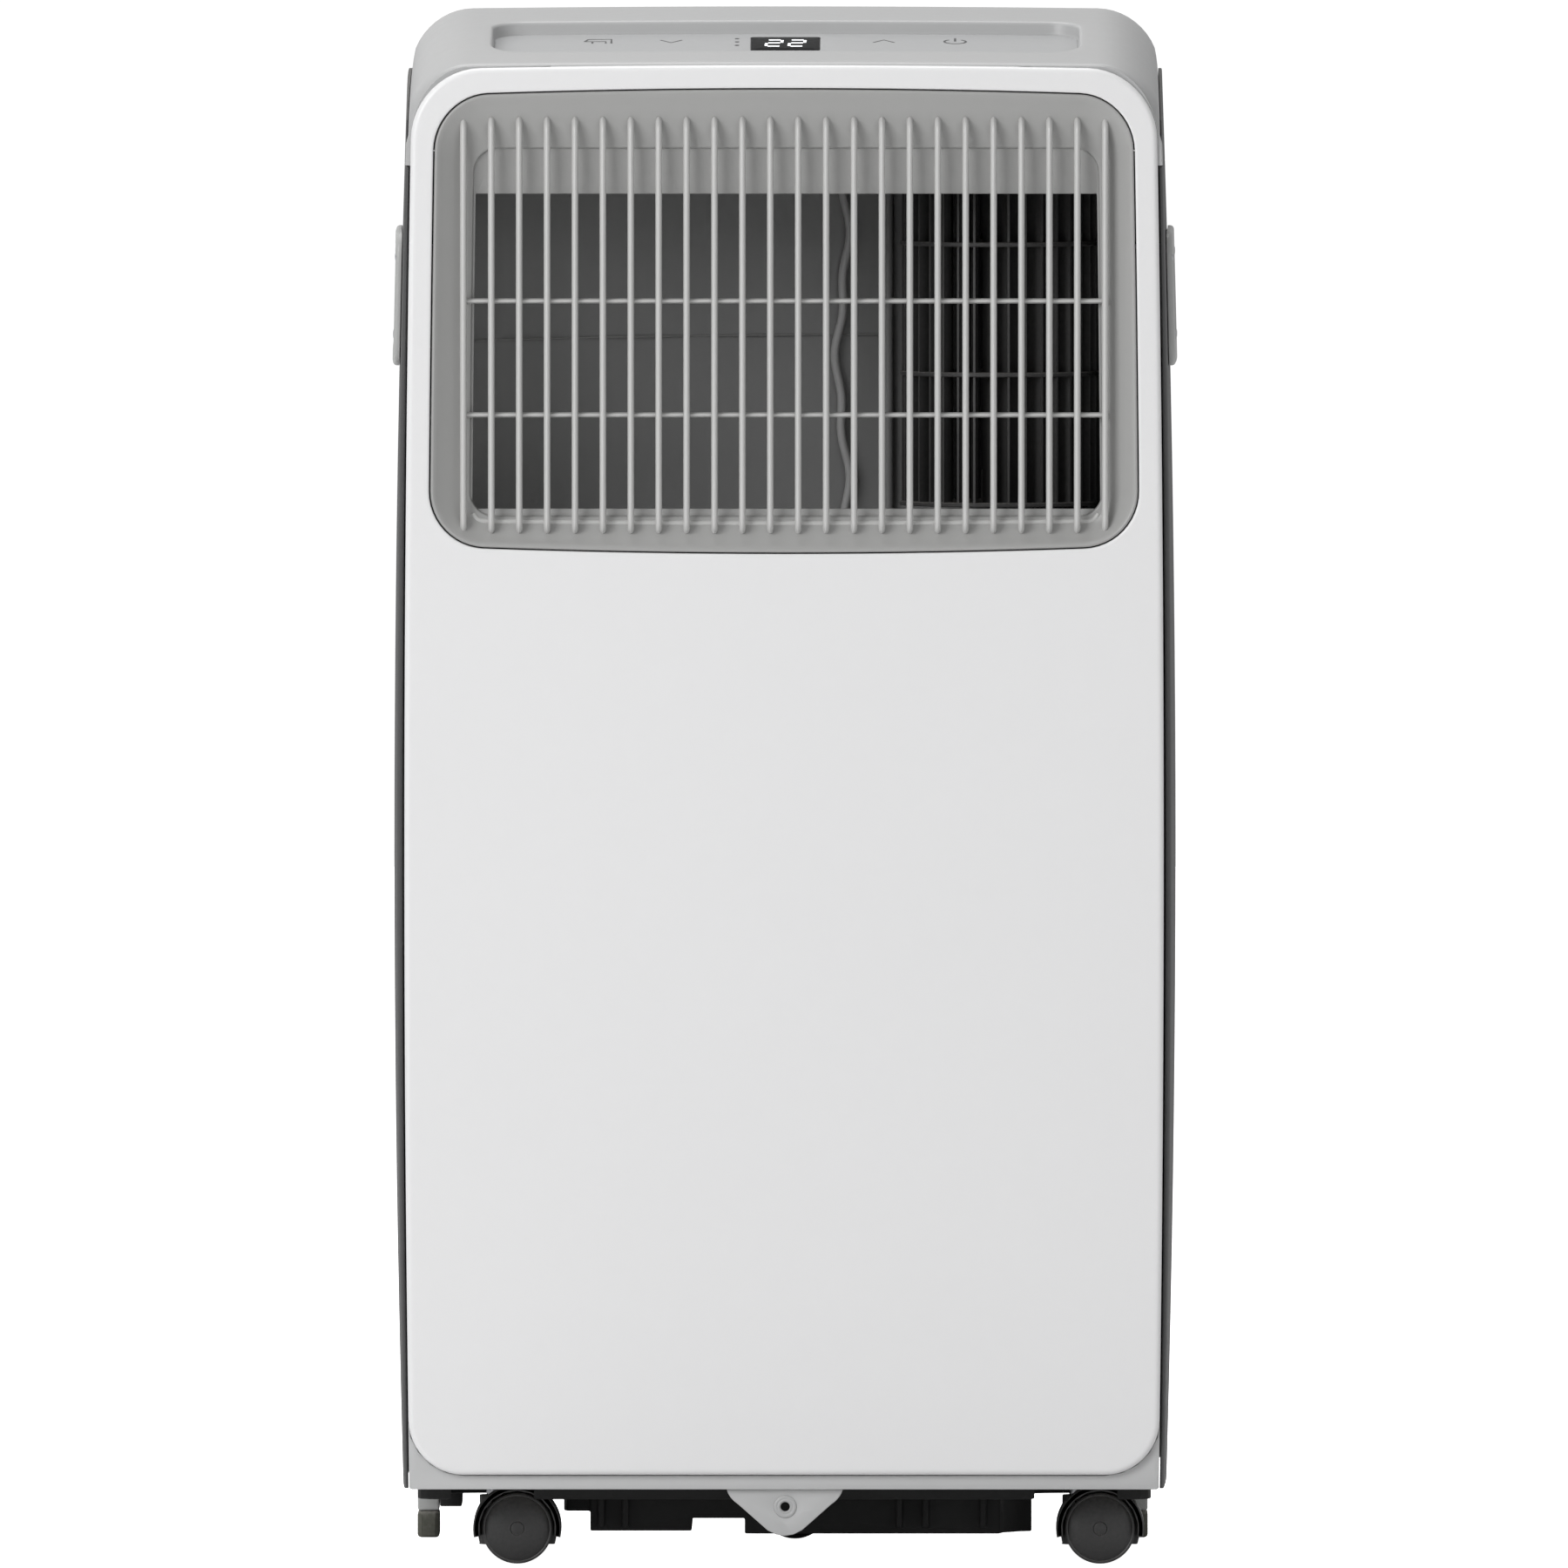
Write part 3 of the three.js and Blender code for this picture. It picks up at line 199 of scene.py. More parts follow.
# Settled dust: a mask for faces that look up, thicker in patches.
dust, d_in, d_out = effect_group("settled_dust", [("Amount", FLOAT, 0.2)], [("Mask", FLOAT)])
upright_part = dust.nodes.new("ShaderNodeSeparateXYZ")
dust.links.new(dust.nodes.new("ShaderNodeNewGeometry").outputs["Normal"], upright_part.inputs[0])
where = dust.nodes.new("ShaderNodeTexCoord").outputs["Object"]
patch = worked(dust, "MULTIPLY", noise(dust, where, 30.0, 5.0, 0.7), noise(dust, where, 700.0, 2.0))
level = worked(dust, "MULTIPLY", worked(dust, "MAXIMUM", upright_part.outputs["Z"], 0.12), patch)
dust.links.new(worked(dust, "MULTIPLY", level, worked(dust, "MULTIPLY", d_in.outputs["Amount"], 4.0),
                      clamp=True),
               d_out.inputs["Mask"])

# Colour drift: the slow change of shade over a real surface.
drift, c_in, c_out = effect_group(
    "colour_drift", [("Colour", COLOUR, (1, 1, 1, 1)), ("Spread", FLOAT, 0.05), ("Patch", FLOAT, 6.0)],
    [("Colour", COLOUR)])
where = drift.nodes.new("ShaderNodeTexCoord").outputs["Object"]
swing = worked(drift, "MULTIPLY_ADD", noise(drift, where, c_in.outputs["Patch"], 3.0), 2.0)
swing.node.inputs[2].default_value = -1.0
shade = drift.nodes.new("ShaderNodeHueSaturation")
drift.links.new(c_in.outputs["Colour"], shade.inputs["Color"])
drift.links.new(worked(drift, "ADD", worked(drift, "MULTIPLY", swing, c_in.outputs["Spread"]), 1.0),
                shade.inputs["Value"])
drift.links.new(shade.outputs["Color"], c_out.inputs["Colour"])


def placed(tree, group, **values):
    """A shared effect put into a material with this material's own values."""
    node = tree.nodes.new("ShaderNodeGroup")
    node.node_tree = group
    for label, value in values.items():
        node.inputs[label].default_value = value
    return node


def blended(tree, fac, a, b):
    node = tree.nodes.new("ShaderNodeMix")
    node.data_type = "RGBA"
    tree.links.new(fac, node.inputs["Factor"])
    for socket, value in ((node.inputs[6], a), (node.inputs[7], b)):
        if isinstance(value, tuple):
            socket.default_value = value
        else:
            tree.links.new(value, socket)
    return node.outputs[2]


def finish_of(name, colour, rough, metal=0.0, grain_scale=2500.0, grain_depth=0.00004, mottle=0.06,
              spread=0.04,
              worn_colour=None, worn=0.25, edge=0.0008, dusty=0.1, specular=0.5, coat=0.0, patch=6.0):
    """A finish with drifting colour, mould grain, worn edges and dust on what looks up."""
    material = bpy.data.materials.new(name)
    material.use_nodes = True
    tree = material.node_tree
    shader = tree.nodes["Principled BSDF"]
    body = placed(tree, drift, Colour=(*colour, 1), Spread=spread, Patch=patch)
    rub = placed(tree, wear, Radius=edge, Amount=worn)
    settled = placed(tree, dust, Amount=dusty)
    skin = placed(tree, grain, Grain=grain_scale)
    rubbed = worn_colour or tuple(min(1.0, c * 1.35 + 0.02) for c in colour)
    painted = blended(tree, rub.outputs["Mask"], body.outputs["Colour"], (*rubbed, 1))
    tree.links.new(blended(tree, settled.outputs["Mask"], painted, (0.42, 0.4, 0.37, 1)),
                   shader.inputs["Base Color"])
    uneven = worked(tree, "MULTIPLY_ADD", skin.outputs["Mottle"], 2 * mottle)
    uneven.node.inputs[2].default_value = rough - mottle
    polished = worked(tree, "SUBTRACT", uneven, worked(tree, "MULTIPLY", rub.outputs["Mask"], 0.12))
    tree.links.new(worked(tree, "ADD", polished, worked(tree, "MULTIPLY", settled.outputs["Mask"], 0.3),
                          clamp=True),
                   shader.inputs["Roughness"])
    bump = tree.nodes.new("ShaderNodeBump")
    bump.inputs["Distance"].default_value = grain_depth
    bump.inputs["Strength"].default_value = 1.0
    tree.links.new(skin.outputs["Height"], bump.inputs["Height"])
    tree.links.new(bump.outputs["Normal"], shader.inputs["Normal"])
    shader.inputs["Metallic"].default_value = metal
    shader.inputs["Specular IOR Level"].default_value = specular
    shader.inputs["Coat Weight"].default_value = coat
    return material


def settle(piece, body, nodes):
    """The piece moves with its body and stands for its nodes, which are hidden."""
    piece.name = piece.name.replace(".001", "_visual")
    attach(piece, body)
    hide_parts(*nodes)
    return piece


def linked(name, mesh, material, angle=32):
    """A named object at the origin, smooth but for edges sharper than the angle."""
    mesh.materials.clear()
    mesh.materials.append(material)
    mesh.shade_smooth()
    mesh.set_sharp_from_angle(angle=math.radians(angle))
    piece = bpy.data.objects.new(name, mesh)
    scene.collection.objects.link(piece)
    return piece


def evaluated(piece, material, angle=32):
    """The piece with its modifiers worked into a plain mesh and taken off."""
    plain = bpy.data.meshes.new_from_object(piece.evaluated_get(bpy.context.evaluated_depsgraph_get()))
    piece.modifiers.clear()
    piece.data = plain
    plain.materials.clear()
    plain.materials.append(material)
    for polygon in plain.polygons:
        polygon.material_index = 0
    plain.shade_smooth()
    plain.set_sharp_from_angle(angle=math.radians(angle))
    return piece


def eased(name, nodes, body, material, radius=0.5, segments=2, angle=32, sharper_than=28):
    """CAD nodes' own shape with its hard edges eased to a moulding's radius."""
    shape = bmesh.new()
    for node in nodes:
        shape.from_mesh(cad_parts[node].data)
    bmesh.ops.remove_doubles(shape, verts=shape.verts, dist=2e-6)
    bmesh.ops.dissolve_limit(shape, angle_limit=math.radians(0.6), verts=shape.verts, edges=shape.edges)
    mesh = bpy.data.meshes.new(name)
    shape.to_mesh(mesh)
    shape.free()
    piece = linked(name, mesh, material, angle)
    bevel = piece.modifiers.new("eased_edges", "BEVEL")
    bevel.limit_method, bevel.angle_limit = "ANGLE", math.radians(sharper_than)
    bevel.width, bevel.segments, bevel.use_clamp_overlap = radius * MM, segments, False
    bevel.miter_outer = "MITER_ARC"
    return settle(evaluated(piece, material, angle), body, nodes)


black_moulding = finish_of("black_moulding", (0.013, 0.0131, 0.0133), 0.62, worn=0.12, dusty=0.02,
                           specular=0.25)
eased("base_pan", ["base_pan"], "case", black_moulding, 0.7)


# ---- Rear legs ----
# Two moulded posts with rubber pads that stop just above the floor and keep the case from tipping back.
handle_grey = finish_of("satin_light_grey", (0.4, 0.405, 0.4), 0.36, worn=0.15, dusty=0.08,
                        grain_depth=0.00002)
pad_rubber = finish_of("pad_rubber", (0.062, 0.064, 0.05), 0.85, grain_scale=1400.0, grain_depth=0.00012,
                       mottle=0.08, worn=0.3, dusty=0.5)
for side in ("left", "right"):
    eased(f"rear_leg_{side}", [f"rear_leg_{side}"], "case", handle_grey, 1.2, 3)
    eased(f"leg_pad_{side}", [f"leg_pad_{side}"], "case", pad_rubber, 1.6, 3)


# ---- Castors ----
# Twin-wheel furniture castors: two domed nylon wheels on a pin, under a thin hood, on a zinc-plated
# steel stem that snaps into the base pan and swivels there.
def spin(name, profile, centre, axis, sides, material, angle=30):
    """Turned shape: (radius, along) points in mm, spun about an axis through the centre. Ends on the axis close."""
    ring = []
    verts, faces = [], []
    base = {"X": (1, 2, 0), "Y": (2, 0, 1), "Z": (0, 1, 2)}[axis]
    for radius, along in profile:
        row = []
        for k in range(1 if radius < 1e-6 else sides):
            turn = 2 * math.pi * k / sides
            point = [0.0, 0.0, 0.0]
            point[base[0]], point[base[1]] = radius * math.cos(turn), radius * math.sin(turn)
            point[base[2]] = along
            row.append(len(verts))
            verts.append([(p + c) * MM for p, c in zip(point, centre)])
        ring.append(row)
    for low, high in zip(ring, ring[1:]):
        for k in range(sides):
            a, b = low[k % len(low)], low[(k + 1) % len(low)]
            c, d = high[(k + 1) % len(high)], high[k % len(high)]
            face = list(dict.fromkeys((a, b, c, d)))
            if len(face) > 2:
                faces.append(face)
    return moulded(name, verts, faces, material, angle)


def moulded(name, verts, faces, material, angle=32):
    """A closed mesh with merged points and outward faces."""
    mesh = bpy.data.meshes.new(name)
    mesh.from_pydata([tuple(v) for v in verts], [], faces)
    tidy = bmesh.new()
    tidy.from_mesh(mesh)
    bmesh.ops.remove_doubles(tidy, verts=tidy.verts, dist=1e-6)
    bmesh.ops.recalc_face_normals(tidy, faces=tidy.faces)
    tidy.to_mesh(mesh)
    tidy.free()
    return linked(name, mesh, material, angle)


def arc(centre_a, centre_b, radius, start, end, steps):
    """Points on an arc, from one angle in degrees to another."""
    turns = [math.radians(start + (end - start) * k / steps) for k in range(steps + 1)]
    return [(centre_a + radius * math.cos(t), centre_b + radius * math.sin(t)) for t in turns]


def joined(name, pieces):
    """Several pieces made into one, with the first one's material."""
    shape = bmesh.new()
    for piece in pieces:
        shape.from_mesh(piece.data)
    material = pieces[0].data.materials[0]
    mesh = bpy.data.meshes.new(name)
    shape.to_mesh(mesh)
    shape.free()
    for piece in pieces:
        bpy.data.objects.remove(piece)
    return linked(name, mesh, material)


castor_nylon = finish_of("castor_nylon", (0.031, 0.031, 0.032), 0.42, grain_depth=0.00002, worn=0.5,
                         worn_colour=(0.09, 0.09, 0.088), dusty=0.25)
zinc_steel = finish_of("zinc_plated_steel", (0.5, 0.51, 0.53), 0.34, metal=1.0, grain_scale=900.0,
                       grain_depth=0.00001, mottle=0.12, spread=0.12, worn=0.1, dusty=0.1, patch=40.0)
WHEEL_RADIUS, TREAD_IN = 16.0, 7.0
for place in ("front_left", "front_right", "rear"):
    low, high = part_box(f"castor_wheels_{place}")
    axle = [(low.x + high.x) / 2 / MM, (low.y + high.y) / 2 / MM, (low.z + high.z) / 2 / MM]
    wheels = []
    for way in (-1, 1):
        dome = [(0, TREAD_IN), (13.6, TREAD_IN), (14.6, TREAD_IN + 0.2), (15.5, TREAD_IN + 0.9),
                (WHEEL_RADIUS, 8.6), (WHEEL_RADIUS, 9.6), (15.6, 10.15), (15.1, 10.3)]
        crown = [(14.9 * math.cos(t), 9.6 + 3.6 * math.sin(t)) for t in np.linspace(0.16, 1.5, 12)]
        crown = [(r, a) for r, a in crown if r > 3.4]
        dome += crown + [(3.3, 13.1), (3.0, 12.5), (0, 12.5)]
        wheels.append(spin("disc", [(r, way * a) for r, a in dome], axle, "Y", 64, castor_nylon))
        cap = [(0, 12.4), (2.7, 12.4), (2.7, 13.0), (2.2, 13.18), (0, 13.2)]
        wheels.append(spin("cap", [(r, way * a) for r, a in cap], axle, "Y", 24, castor_nylon))
    wheels.append(spin("pin", [(0, -8), (2.3, -8), (2.3, 8), (0, 8)], axle, "Y", 24, castor_nylon))
    settle(joined(f"castor_wheels_{place}", wheels), f"castor_roller_{place}", [f"castor_wheels_{place}"])

    hood = []
    SPAN, EDGE = 13.6, 0.7
    sweep = [math.radians(-11.4 + 202.8 * k / 40) for k in range(41)]
    section = [(20 - EDGE, -SPAN), (20, -SPAN + EDGE), (20.0, 0), (20, SPAN - EDGE), (20 - EDGE, SPAN),
               (17.6, SPAN), (17.2, SPAN - 0.5), (17.2, 0), (17.2, -SPAN + 0.5), (17.6, -SPAN)]
    verts = [((axle[0] + r * math.cos(t)) * MM, (axle[1] + a) * MM, (axle[2] + r * math.sin(t)) * MM)
             for t in sweep for r, a in section]
    ring_size = len(section)
    faces = [[i * ring_size + k, i * ring_size + (k + 1) % ring_size,
              (i + 1) * ring_size + (k + 1) % ring_size,
              (i + 1) * ring_size + k] for i in range(len(sweep) - 1) for k in range(ring_size)]
    faces += [list(range(ring_size)), [len(verts) - ring_size + k for k in range(ring_size)]]
    hood.append(moulded("hood", verts, faces, castor_nylon))
    eased(f"castor_core_{place}", [f"castor_yoke_{place}"], f"castor_fork_{place}",
          castor_nylon, 0.4)
    shell = settle(hood[0], f"castor_fork_{place}", [f"castor_yoke_{place}"])
    shell.name = f"castor_hood_{place}"

    low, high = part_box(f"castor_stem_{place}")
    middle = [(low.x + high.x) / 2 / MM, (low.y + high.y) / 2 / MM, 0]
    stem = [(0, 11.6), (2.6, 11.6), (3, 12), (3, 36.1), (5.2, 36.1), (5.5, 36.3), (5.4, 36.7), (4, 36.75),
            (4, 39.2), (3.5, 39.5), (3.5, 40.7), (4, 41), (4, 45.6), (3.2, 46.6), (0, 47)]
    settle(spin(f"castor_stem_{place}", stem, middle, "Z", 32, zinc_steel), f"castor_fork_{place}",
           [f"castor_stem_{place}"])


# ---- Compressor ----
# A rotary compressor in a welded black steel can, on a foot plate with three rubber grommets, with its
# suction accumulator strapped beside it.
black_enamel = finish_of("black_enamel", (0.012, 0.012, 0.013), 0.3, metal=0.0, grain_scale=380.0,
                         grain_depth=0.00006, mottle=0.08, worn=0.35, worn_colour=(0.09, 0.085, 0.08),
                         dusty=0.3, coat=0.4)
grommet_rubber = finish_of("grommet_rubber", (0.018, 0.018, 0.018), 0.8, grain_scale=1500.0,
                           grain_depth=0.0001, dusty=0.3)
low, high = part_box("compressor")
CAN_X, CAN_Y, CAN_R = -95.0, -70.0, 52.0
can = [(0, 66.2), (30, 66.2), (40, 66.6), (47, 69), (51, 73.5), (CAN_R, 78), (CAN_R, 96)]
can += [(CAN_R + 0.0, 97), (51.2, 98.4), (CAN_R, 99.8), (CAN_R, 226), (51.2, 227.4), (CAN_R, 229)]
can += [(CAN_R, 246), (51, 251.5), (47.5, 256), (40, 260.5), (28, 264), (14, 266), (7, 267), (6, 268.5),
        (6, 277), (5, 278), (0, 278)]
can_shell = spin("compressor_can", can, (CAN_X, CAN_Y, 0), "Z", 72, black_enamel)
terminal = spin("compressor_terminal", [(0, 262), (13, 262), (13, 268), (12, 270.5), (9, 272), (0, 272)],
                (CAN_X + 24, CAN_Y - 14, 0), "Z", 32, black_enamel)
settle(joined("compressor_can", [can_shell, terminal]), "case", ["compressor"])
foot = bmesh.new()
foot.from_mesh(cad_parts["compressor"].data)
bmesh.ops.remove_doubles(foot, verts=foot.verts, dist=2e-6)
plate_top = 67.2 * MM
bmesh.ops.bisect_plane(foot, geom=foot.verts[:] + foot.edges[:] + foot.faces[:], plane_co=(0, 0, plate_top),
                       plane_no=(0, 0, 1), clear_outer=True)
bmesh.ops.holes_fill(foot, edges=[e for e in foot.edges if e.is_boundary])
bmesh.ops.recalc_face_normals(foot, faces=foot.faces)
foot_mesh = bpy.data.meshes.new("compressor_foot")
foot.to_mesh(foot_mesh)
foot.free()
settle(linked("compressor_foot", foot_mesh, black_enamel), "case", ["compressor"])
for number in (1, 2, 3):
    low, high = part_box(f"compressor_grommet_{number}")
    middle = ((low.x + high.x) / 2 / MM, (low.y + high.y) / 2 / MM, 0)
    rings = [(3, 52.4), (8.2, 52.4), (9, 53.2), (9, 55), (8.3, 55.8), (9, 56.6), (9, 60.8), (8.2, 61.6),
             (5.9, 61.6), (5.9, 67.4), (7.4, 67.4), (8, 68), (8, 69.3), (7.2, 70), (3, 70), (3, 52.4)]
    settle(spin(f"compressor_grommet_{number}", rings, middle, "Z", 40, grommet_rubber), "case",
           [f"compressor_grommet_{number}"])
bottle = [(0, 96), (4.6, 96), (5, 96.6), (5, 103), (8, 104.6), (15, 108), (20, 112.5), (22, 118), (22, 150),
          (21.5, 151), (22, 152), (22, 224), (20, 230), (14, 235), (7, 238.4), (5, 240), (5, 245.6),
          (4.6, 246), (0, 246)]
accumulator = spin("suction_accumulator", bottle, (-20, -108, 0), "Z", 48, black_enamel)
strap = spin("accumulator_strap",
             [(22.05, 168), (22.9, 168), (23, 168.3), (23, 177.7), (22.9, 178), (22.05, 178),
                                   (22.05, 168)], (-20, -108, 0), "Z", 48, zinc_steel)
settle(accumulator, "case", ["accumulator"])
settle(strap, "case", ["accumulator"])


# ---- Condenser coil ----
# A block of thin aluminium fins between plated end plates, threaded on copper tubes that come out in
# hairpin bends at one side. The evaporator in the upper deck is made the same way.
def row_tree():
    """The object's own mesh repeated at an even step, with its finish set here."""
    tree = bpy.data.node_groups.new("even_row", "GeometryNodeTree")
    tree.interface.new_socket(name="Geometry", in_out="INPUT", socket_type="NodeSocketGeometry")
    for label, kind in (("Count", "NodeSocketInt"), ("Step", "NodeSocketVector"),
                        ("Turn", "NodeSocketVector"),
                        ("Pivot", "NodeSocketVector"), ("Finish", "NodeSocketMaterial")):
        tree.interface.new_socket(name=label, in_out="INPUT", socket_type=kind)
    tree.interface.new_socket(name="Geometry", in_out="OUTPUT", socket_type="NodeSocketGeometry")
    given, made = tree.nodes.new("NodeGroupInput"), tree.nodes.new("NodeGroupOutput")
    link = tree.links.new
    row = tree.nodes.new("GeometryNodeMeshLine")
    link(given.outputs["Count"], row.inputs["Count"])
    link(given.outputs["Step"], row.inputs["Offset"])
    copies = tree.nodes.new("GeometryNodeInstanceOnPoints")
    link(row.outputs["Mesh"], copies.inputs["Points"])
    link(given.outputs["Geometry"], copies.inputs["Instance"])
    turn = tree.nodes.new("ShaderNodeVectorMath")
    turn.operation = "SCALE"
    link(given.outputs["Turn"], turn.inputs[0])
    link(tree.nodes.new("GeometryNodeInputIndex").outputs[0], turn.inputs["Scale"])
    turned = tree.nodes.new("GeometryNodeRotateInstances")
    link(copies.outputs["Instances"], turned.inputs["Instances"])
    link(turn.outputs[0], turned.inputs["Rotation"])
    link(given.outputs["Pivot"], turned.inputs["Pivot Point"])
    turned.inputs["Local Space"].default_value = False
    whole = tree.nodes.new("GeometryNodeRealizeInstances")
    link(turned.outputs["Instances"], whole.inputs["Geometry"])
    finish = tree.nodes.new("GeometryNodeSetMaterial")
    link(whole.outputs["Geometry"], finish.inputs["Geometry"])
    link(given.outputs["Finish"], finish.inputs["Material"])
    link(finish.outputs["Geometry"], made.inputs["Geometry"])
    return tree


ROW_OF = row_tree()


def laid_out(name, tree, mesh, material, **values):
    """A mesh put through a Geometry Nodes tree with its inputs set, and turned into a plain piece."""
    piece = bpy.data.objects.new(name, mesh)
    scene.collection.objects.link(piece)
    nodes = piece.modifiers.new("layout", "NODES")
    nodes.node_group = tree
    sockets = {item.name: item.identifier for item in tree.interface.items_tree if item.in_out == "INPUT"}
    for label, value in values.items():
        nodes[sockets[label]] = value
    nodes[sockets["Finish"]] = material
    bpy.context.view_layer.update()
    piece = evaluated(piece, material)
    shape = bmesh.new()
    shape.from_mesh(piece.data)
    bmesh.ops.recalc_face_normals(shape, faces=shape.faces)
    shape.to_mesh(piece.data)
    shape.free()
    return piece


def prism_mesh(section, start, end, along):
    """A closed section pushed from start to end along an axis. The section gives the other two coordinates."""
    order = {"X": lambda a, b, c: (c, a, b), "Y": lambda a, b, c: (a, c, b),
             "Z": lambda a, b, c: (a, b, c)}[along]
    count = len(section)
    mesh = bpy.data.meshes.new("prism")
    verts = [[v * MM for v in order(a, b, c)] for c in (start, end) for a, b in section]
    faces = [[k, (k + 1) % count, count + (k + 1) % count, count + k] for k in range(count)]
    mesh.from_pydata(verts, [], faces + [list(range(count)), list(range(count, 2 * count))])
    return mesh


def tube_along(name, points, radius, material, sides=16, flat=1.0, angle=40):
    """A round rod or pipe along points in mm, with closed ends."""
    path = [Vector(p) for p in points]
    frames, up = [], None
    for k, p in enumerate(path):
        ahead = (path[min(k + 1, len(path) - 1)] - path[max(k - 1, 0)]).normalized()
        if up is None:
            up = Vector((0, 0, 1)) if abs(ahead.z) < 0.9 else Vector((1, 0, 0))
        up = (up - ahead * up.dot(ahead)).normalized()
        frames.append((p, up.copy(), ahead.cross(up)))
    verts = [tuple((p + u * radius * flat * math.cos(t) + v * radius * math.sin(t)) * MM)
             for p, u, v in frames for t in [2 * math.pi * s / sides for s in range(sides)]]
    faces = [[i * sides + s, i * sides + (s + 1) % sides, (i + 1) * sides + (s + 1) % sides,
              (i + 1) * sides + s]
             for i in range(len(path) - 1) for s in range(sides)]
    faces += [list(range(sides)), list(range(len(verts) - sides, len(verts)))]
    return moulded(name, verts, faces, material, angle)


aluminium = finish_of("fin_aluminium", (0.42, 0.43, 0.44), 0.38, metal=0.9, grain_scale=900,
                      grain_depth=0.00001, worn=0.1, dusty=0.6, spread=0.1, patch=30)
copper = finish_of("drawn_copper", (0.5, 0.2, 0.1), 0.33, metal=1.0, grain_scale=600, grain_depth=0.00001,
                   worn=0.2, dusty=0.2, spread=0.25, patch=25, worn_colour=(0.7, 0.36, 0.2))
COPPER_OUT = 3.4


def coil(name, left, right, front, back, low, high, bends):
    """Fins, end plates and hairpin bends of one heat exchanger."""
    teeth = [(0.35 if k % 2 else -0.35, y) for k, y in enumerate(np.linspace(front, back, 9))]
    fin = [(left + 1.2 + x, y) for x, y in teeth] + [(left + 1.42 + x, y) for x, y in reversed(teeth)]
    count = int((right - left - 2.4) / 2.1)
    fins = laid_out(name, ROW_OF, prism_mesh(fin, low, high, "Z"), aluminium, Count=count,
                    Step=((right - left - 2.4) / count * MM, 0, 0))
    plates = []
    for x, lip in ((left, -1.2), (right, 1.2)):
        turned = x - math.copysign(3.0, lip)
        plate = [(x + lip, front - 3), (turned, front - 3), (turned, front - 2), (x, front - 2),
                 (x, back + 2), (turned, back + 2), (turned, back + 3), (x + lip, back + 3)]
        mesh = prism_mesh(plate, low - 2, high + 2, "Z")
        shape = bmesh.new()
        shape.from_mesh(mesh)
        bmesh.ops.recalc_face_normals(shape, faces=shape.faces)
        shape.to_mesh(mesh)
        shape.free()
        plates.append(linked("plate", mesh, zinc_steel))
    settle(fins, "case", [name])
    settle(joined(f"{name}_plates", plates), "case", [name])
    pitch, middle = (high - low) / bends, (front + back) / 2
    hairpins = []
    for number in range(bends):
        z = low + pitch * (number + 0.5)
        for side in (-7.5, 7.5):
            bend = [(right, middle + side, z - 5.5)]
            bend += [(right + a, middle + side, z + b) for a, b in arc(1.0, 0, 2.55, -90, 90, 10)]
            bend = [(min(a, right + 3.5), b, z + (c - z) * 2.15) for a, b, c in bend]
            bend.append((right, middle + side, z + 5.5))
            hairpins.append(tube_along("bend", bend, COPPER_OUT, copper, 14))
    settle(joined(f"{name}_bends", hairpins), "case", [name])


coil("condenser_coil", -140, 132, 96, 134, 62, 282, 4)

# ---- Condenser fan, its scroll, motor and duct ----
# A moulded wheel in a scroll housing on the base pan blows hot air up a square duct to the exhaust. The
# motor's pressed steel can stands in front on a bracket.
scroll_grey = finish_of("scroll_moulding", (0.03, 0.0305, 0.032), 0.55, worn=0.1, dusty=0.6, specular=0.3)
eased("fan_scroll", ["fan_scroll"], "case", scroll_grey, 0.35)
eased("exhaust_duct", ["exhaust_duct"], "case", scroll_grey, 0.35)
FAN_CENTRE = (20, 0, 190)
wheel = [spin("disc",
              [(4.4, 28), (11.5, 28), (12, 28.6), (12, 30), (61.4, 30), (62, 30.6), (62, 32), (61.5, 32.5),
                       (16, 32.5), (12, 35), (12, 45.4), (11.4, 46), (4.4, 46), (4.4, 28)], FAN_CENTRE, "Y",
                       72,
              scroll_grey),
         spin("shroud",
              [(49, 71), (61.4, 71), (62, 71.6), (62, 73.4), (61.4, 74), (49.6, 74), (49, 73.4), (49, 71)],
              FAN_CENTRE, "Y", 72, scroll_grey)]
FAN_BLADES, WHEEL_BLADES = 30, 36
blade = [(48.6, -3.6), (51, -1.4), (54, 0.8), (58, 2.4), (61.4, 3.0), (61.3, 4.2), (57.6, 3.7), (53.4, 2.0),
         (50.2, -0.2), (48.3, -2.6)]
blade = [(FAN_CENTRE[0] + a, FAN_CENTRE[2] + b) for a, b in blade]
blades = laid_out("blades", ROW_OF, prism_mesh(blade, 31, 72.5, "Y"), scroll_grey,
                  Count=FAN_BLADES, Turn=(0, 2 * math.pi / FAN_BLADES, 0),
                  Pivot=(FAN_CENTRE[0] * MM, 0, FAN_CENTRE[2] * MM))
settle(joined("condenser_fan", wheel + [blades]), "condenser_fan", ["condenser_fan"])
can_steel = finish_of("motor_steel", (0.36, 0.365, 0.37), 0.4, metal=0.85, grain_scale=1400, worn=0.2,
                      dusty=0.3, spread=0.1, patch=40)


def motor_profile(points, radius=1.0):
    """The motor's turned outline with every outer corner rounded."""
    out = []
    for k, (r, a) in enumerate(points):
        if 0 < k < len(points) - 1 and r > 5:
            for other in (points[k - 1], points[k + 1]):
                long = math.hypot(other[0] - r, other[1] - a)
                reach = min(radius, long * 0.4)
                out.append((r + (other[0] - r) / long * reach, a + (other[1] - a) / long * reach))
        else:
            out.append((r, a))
    return out


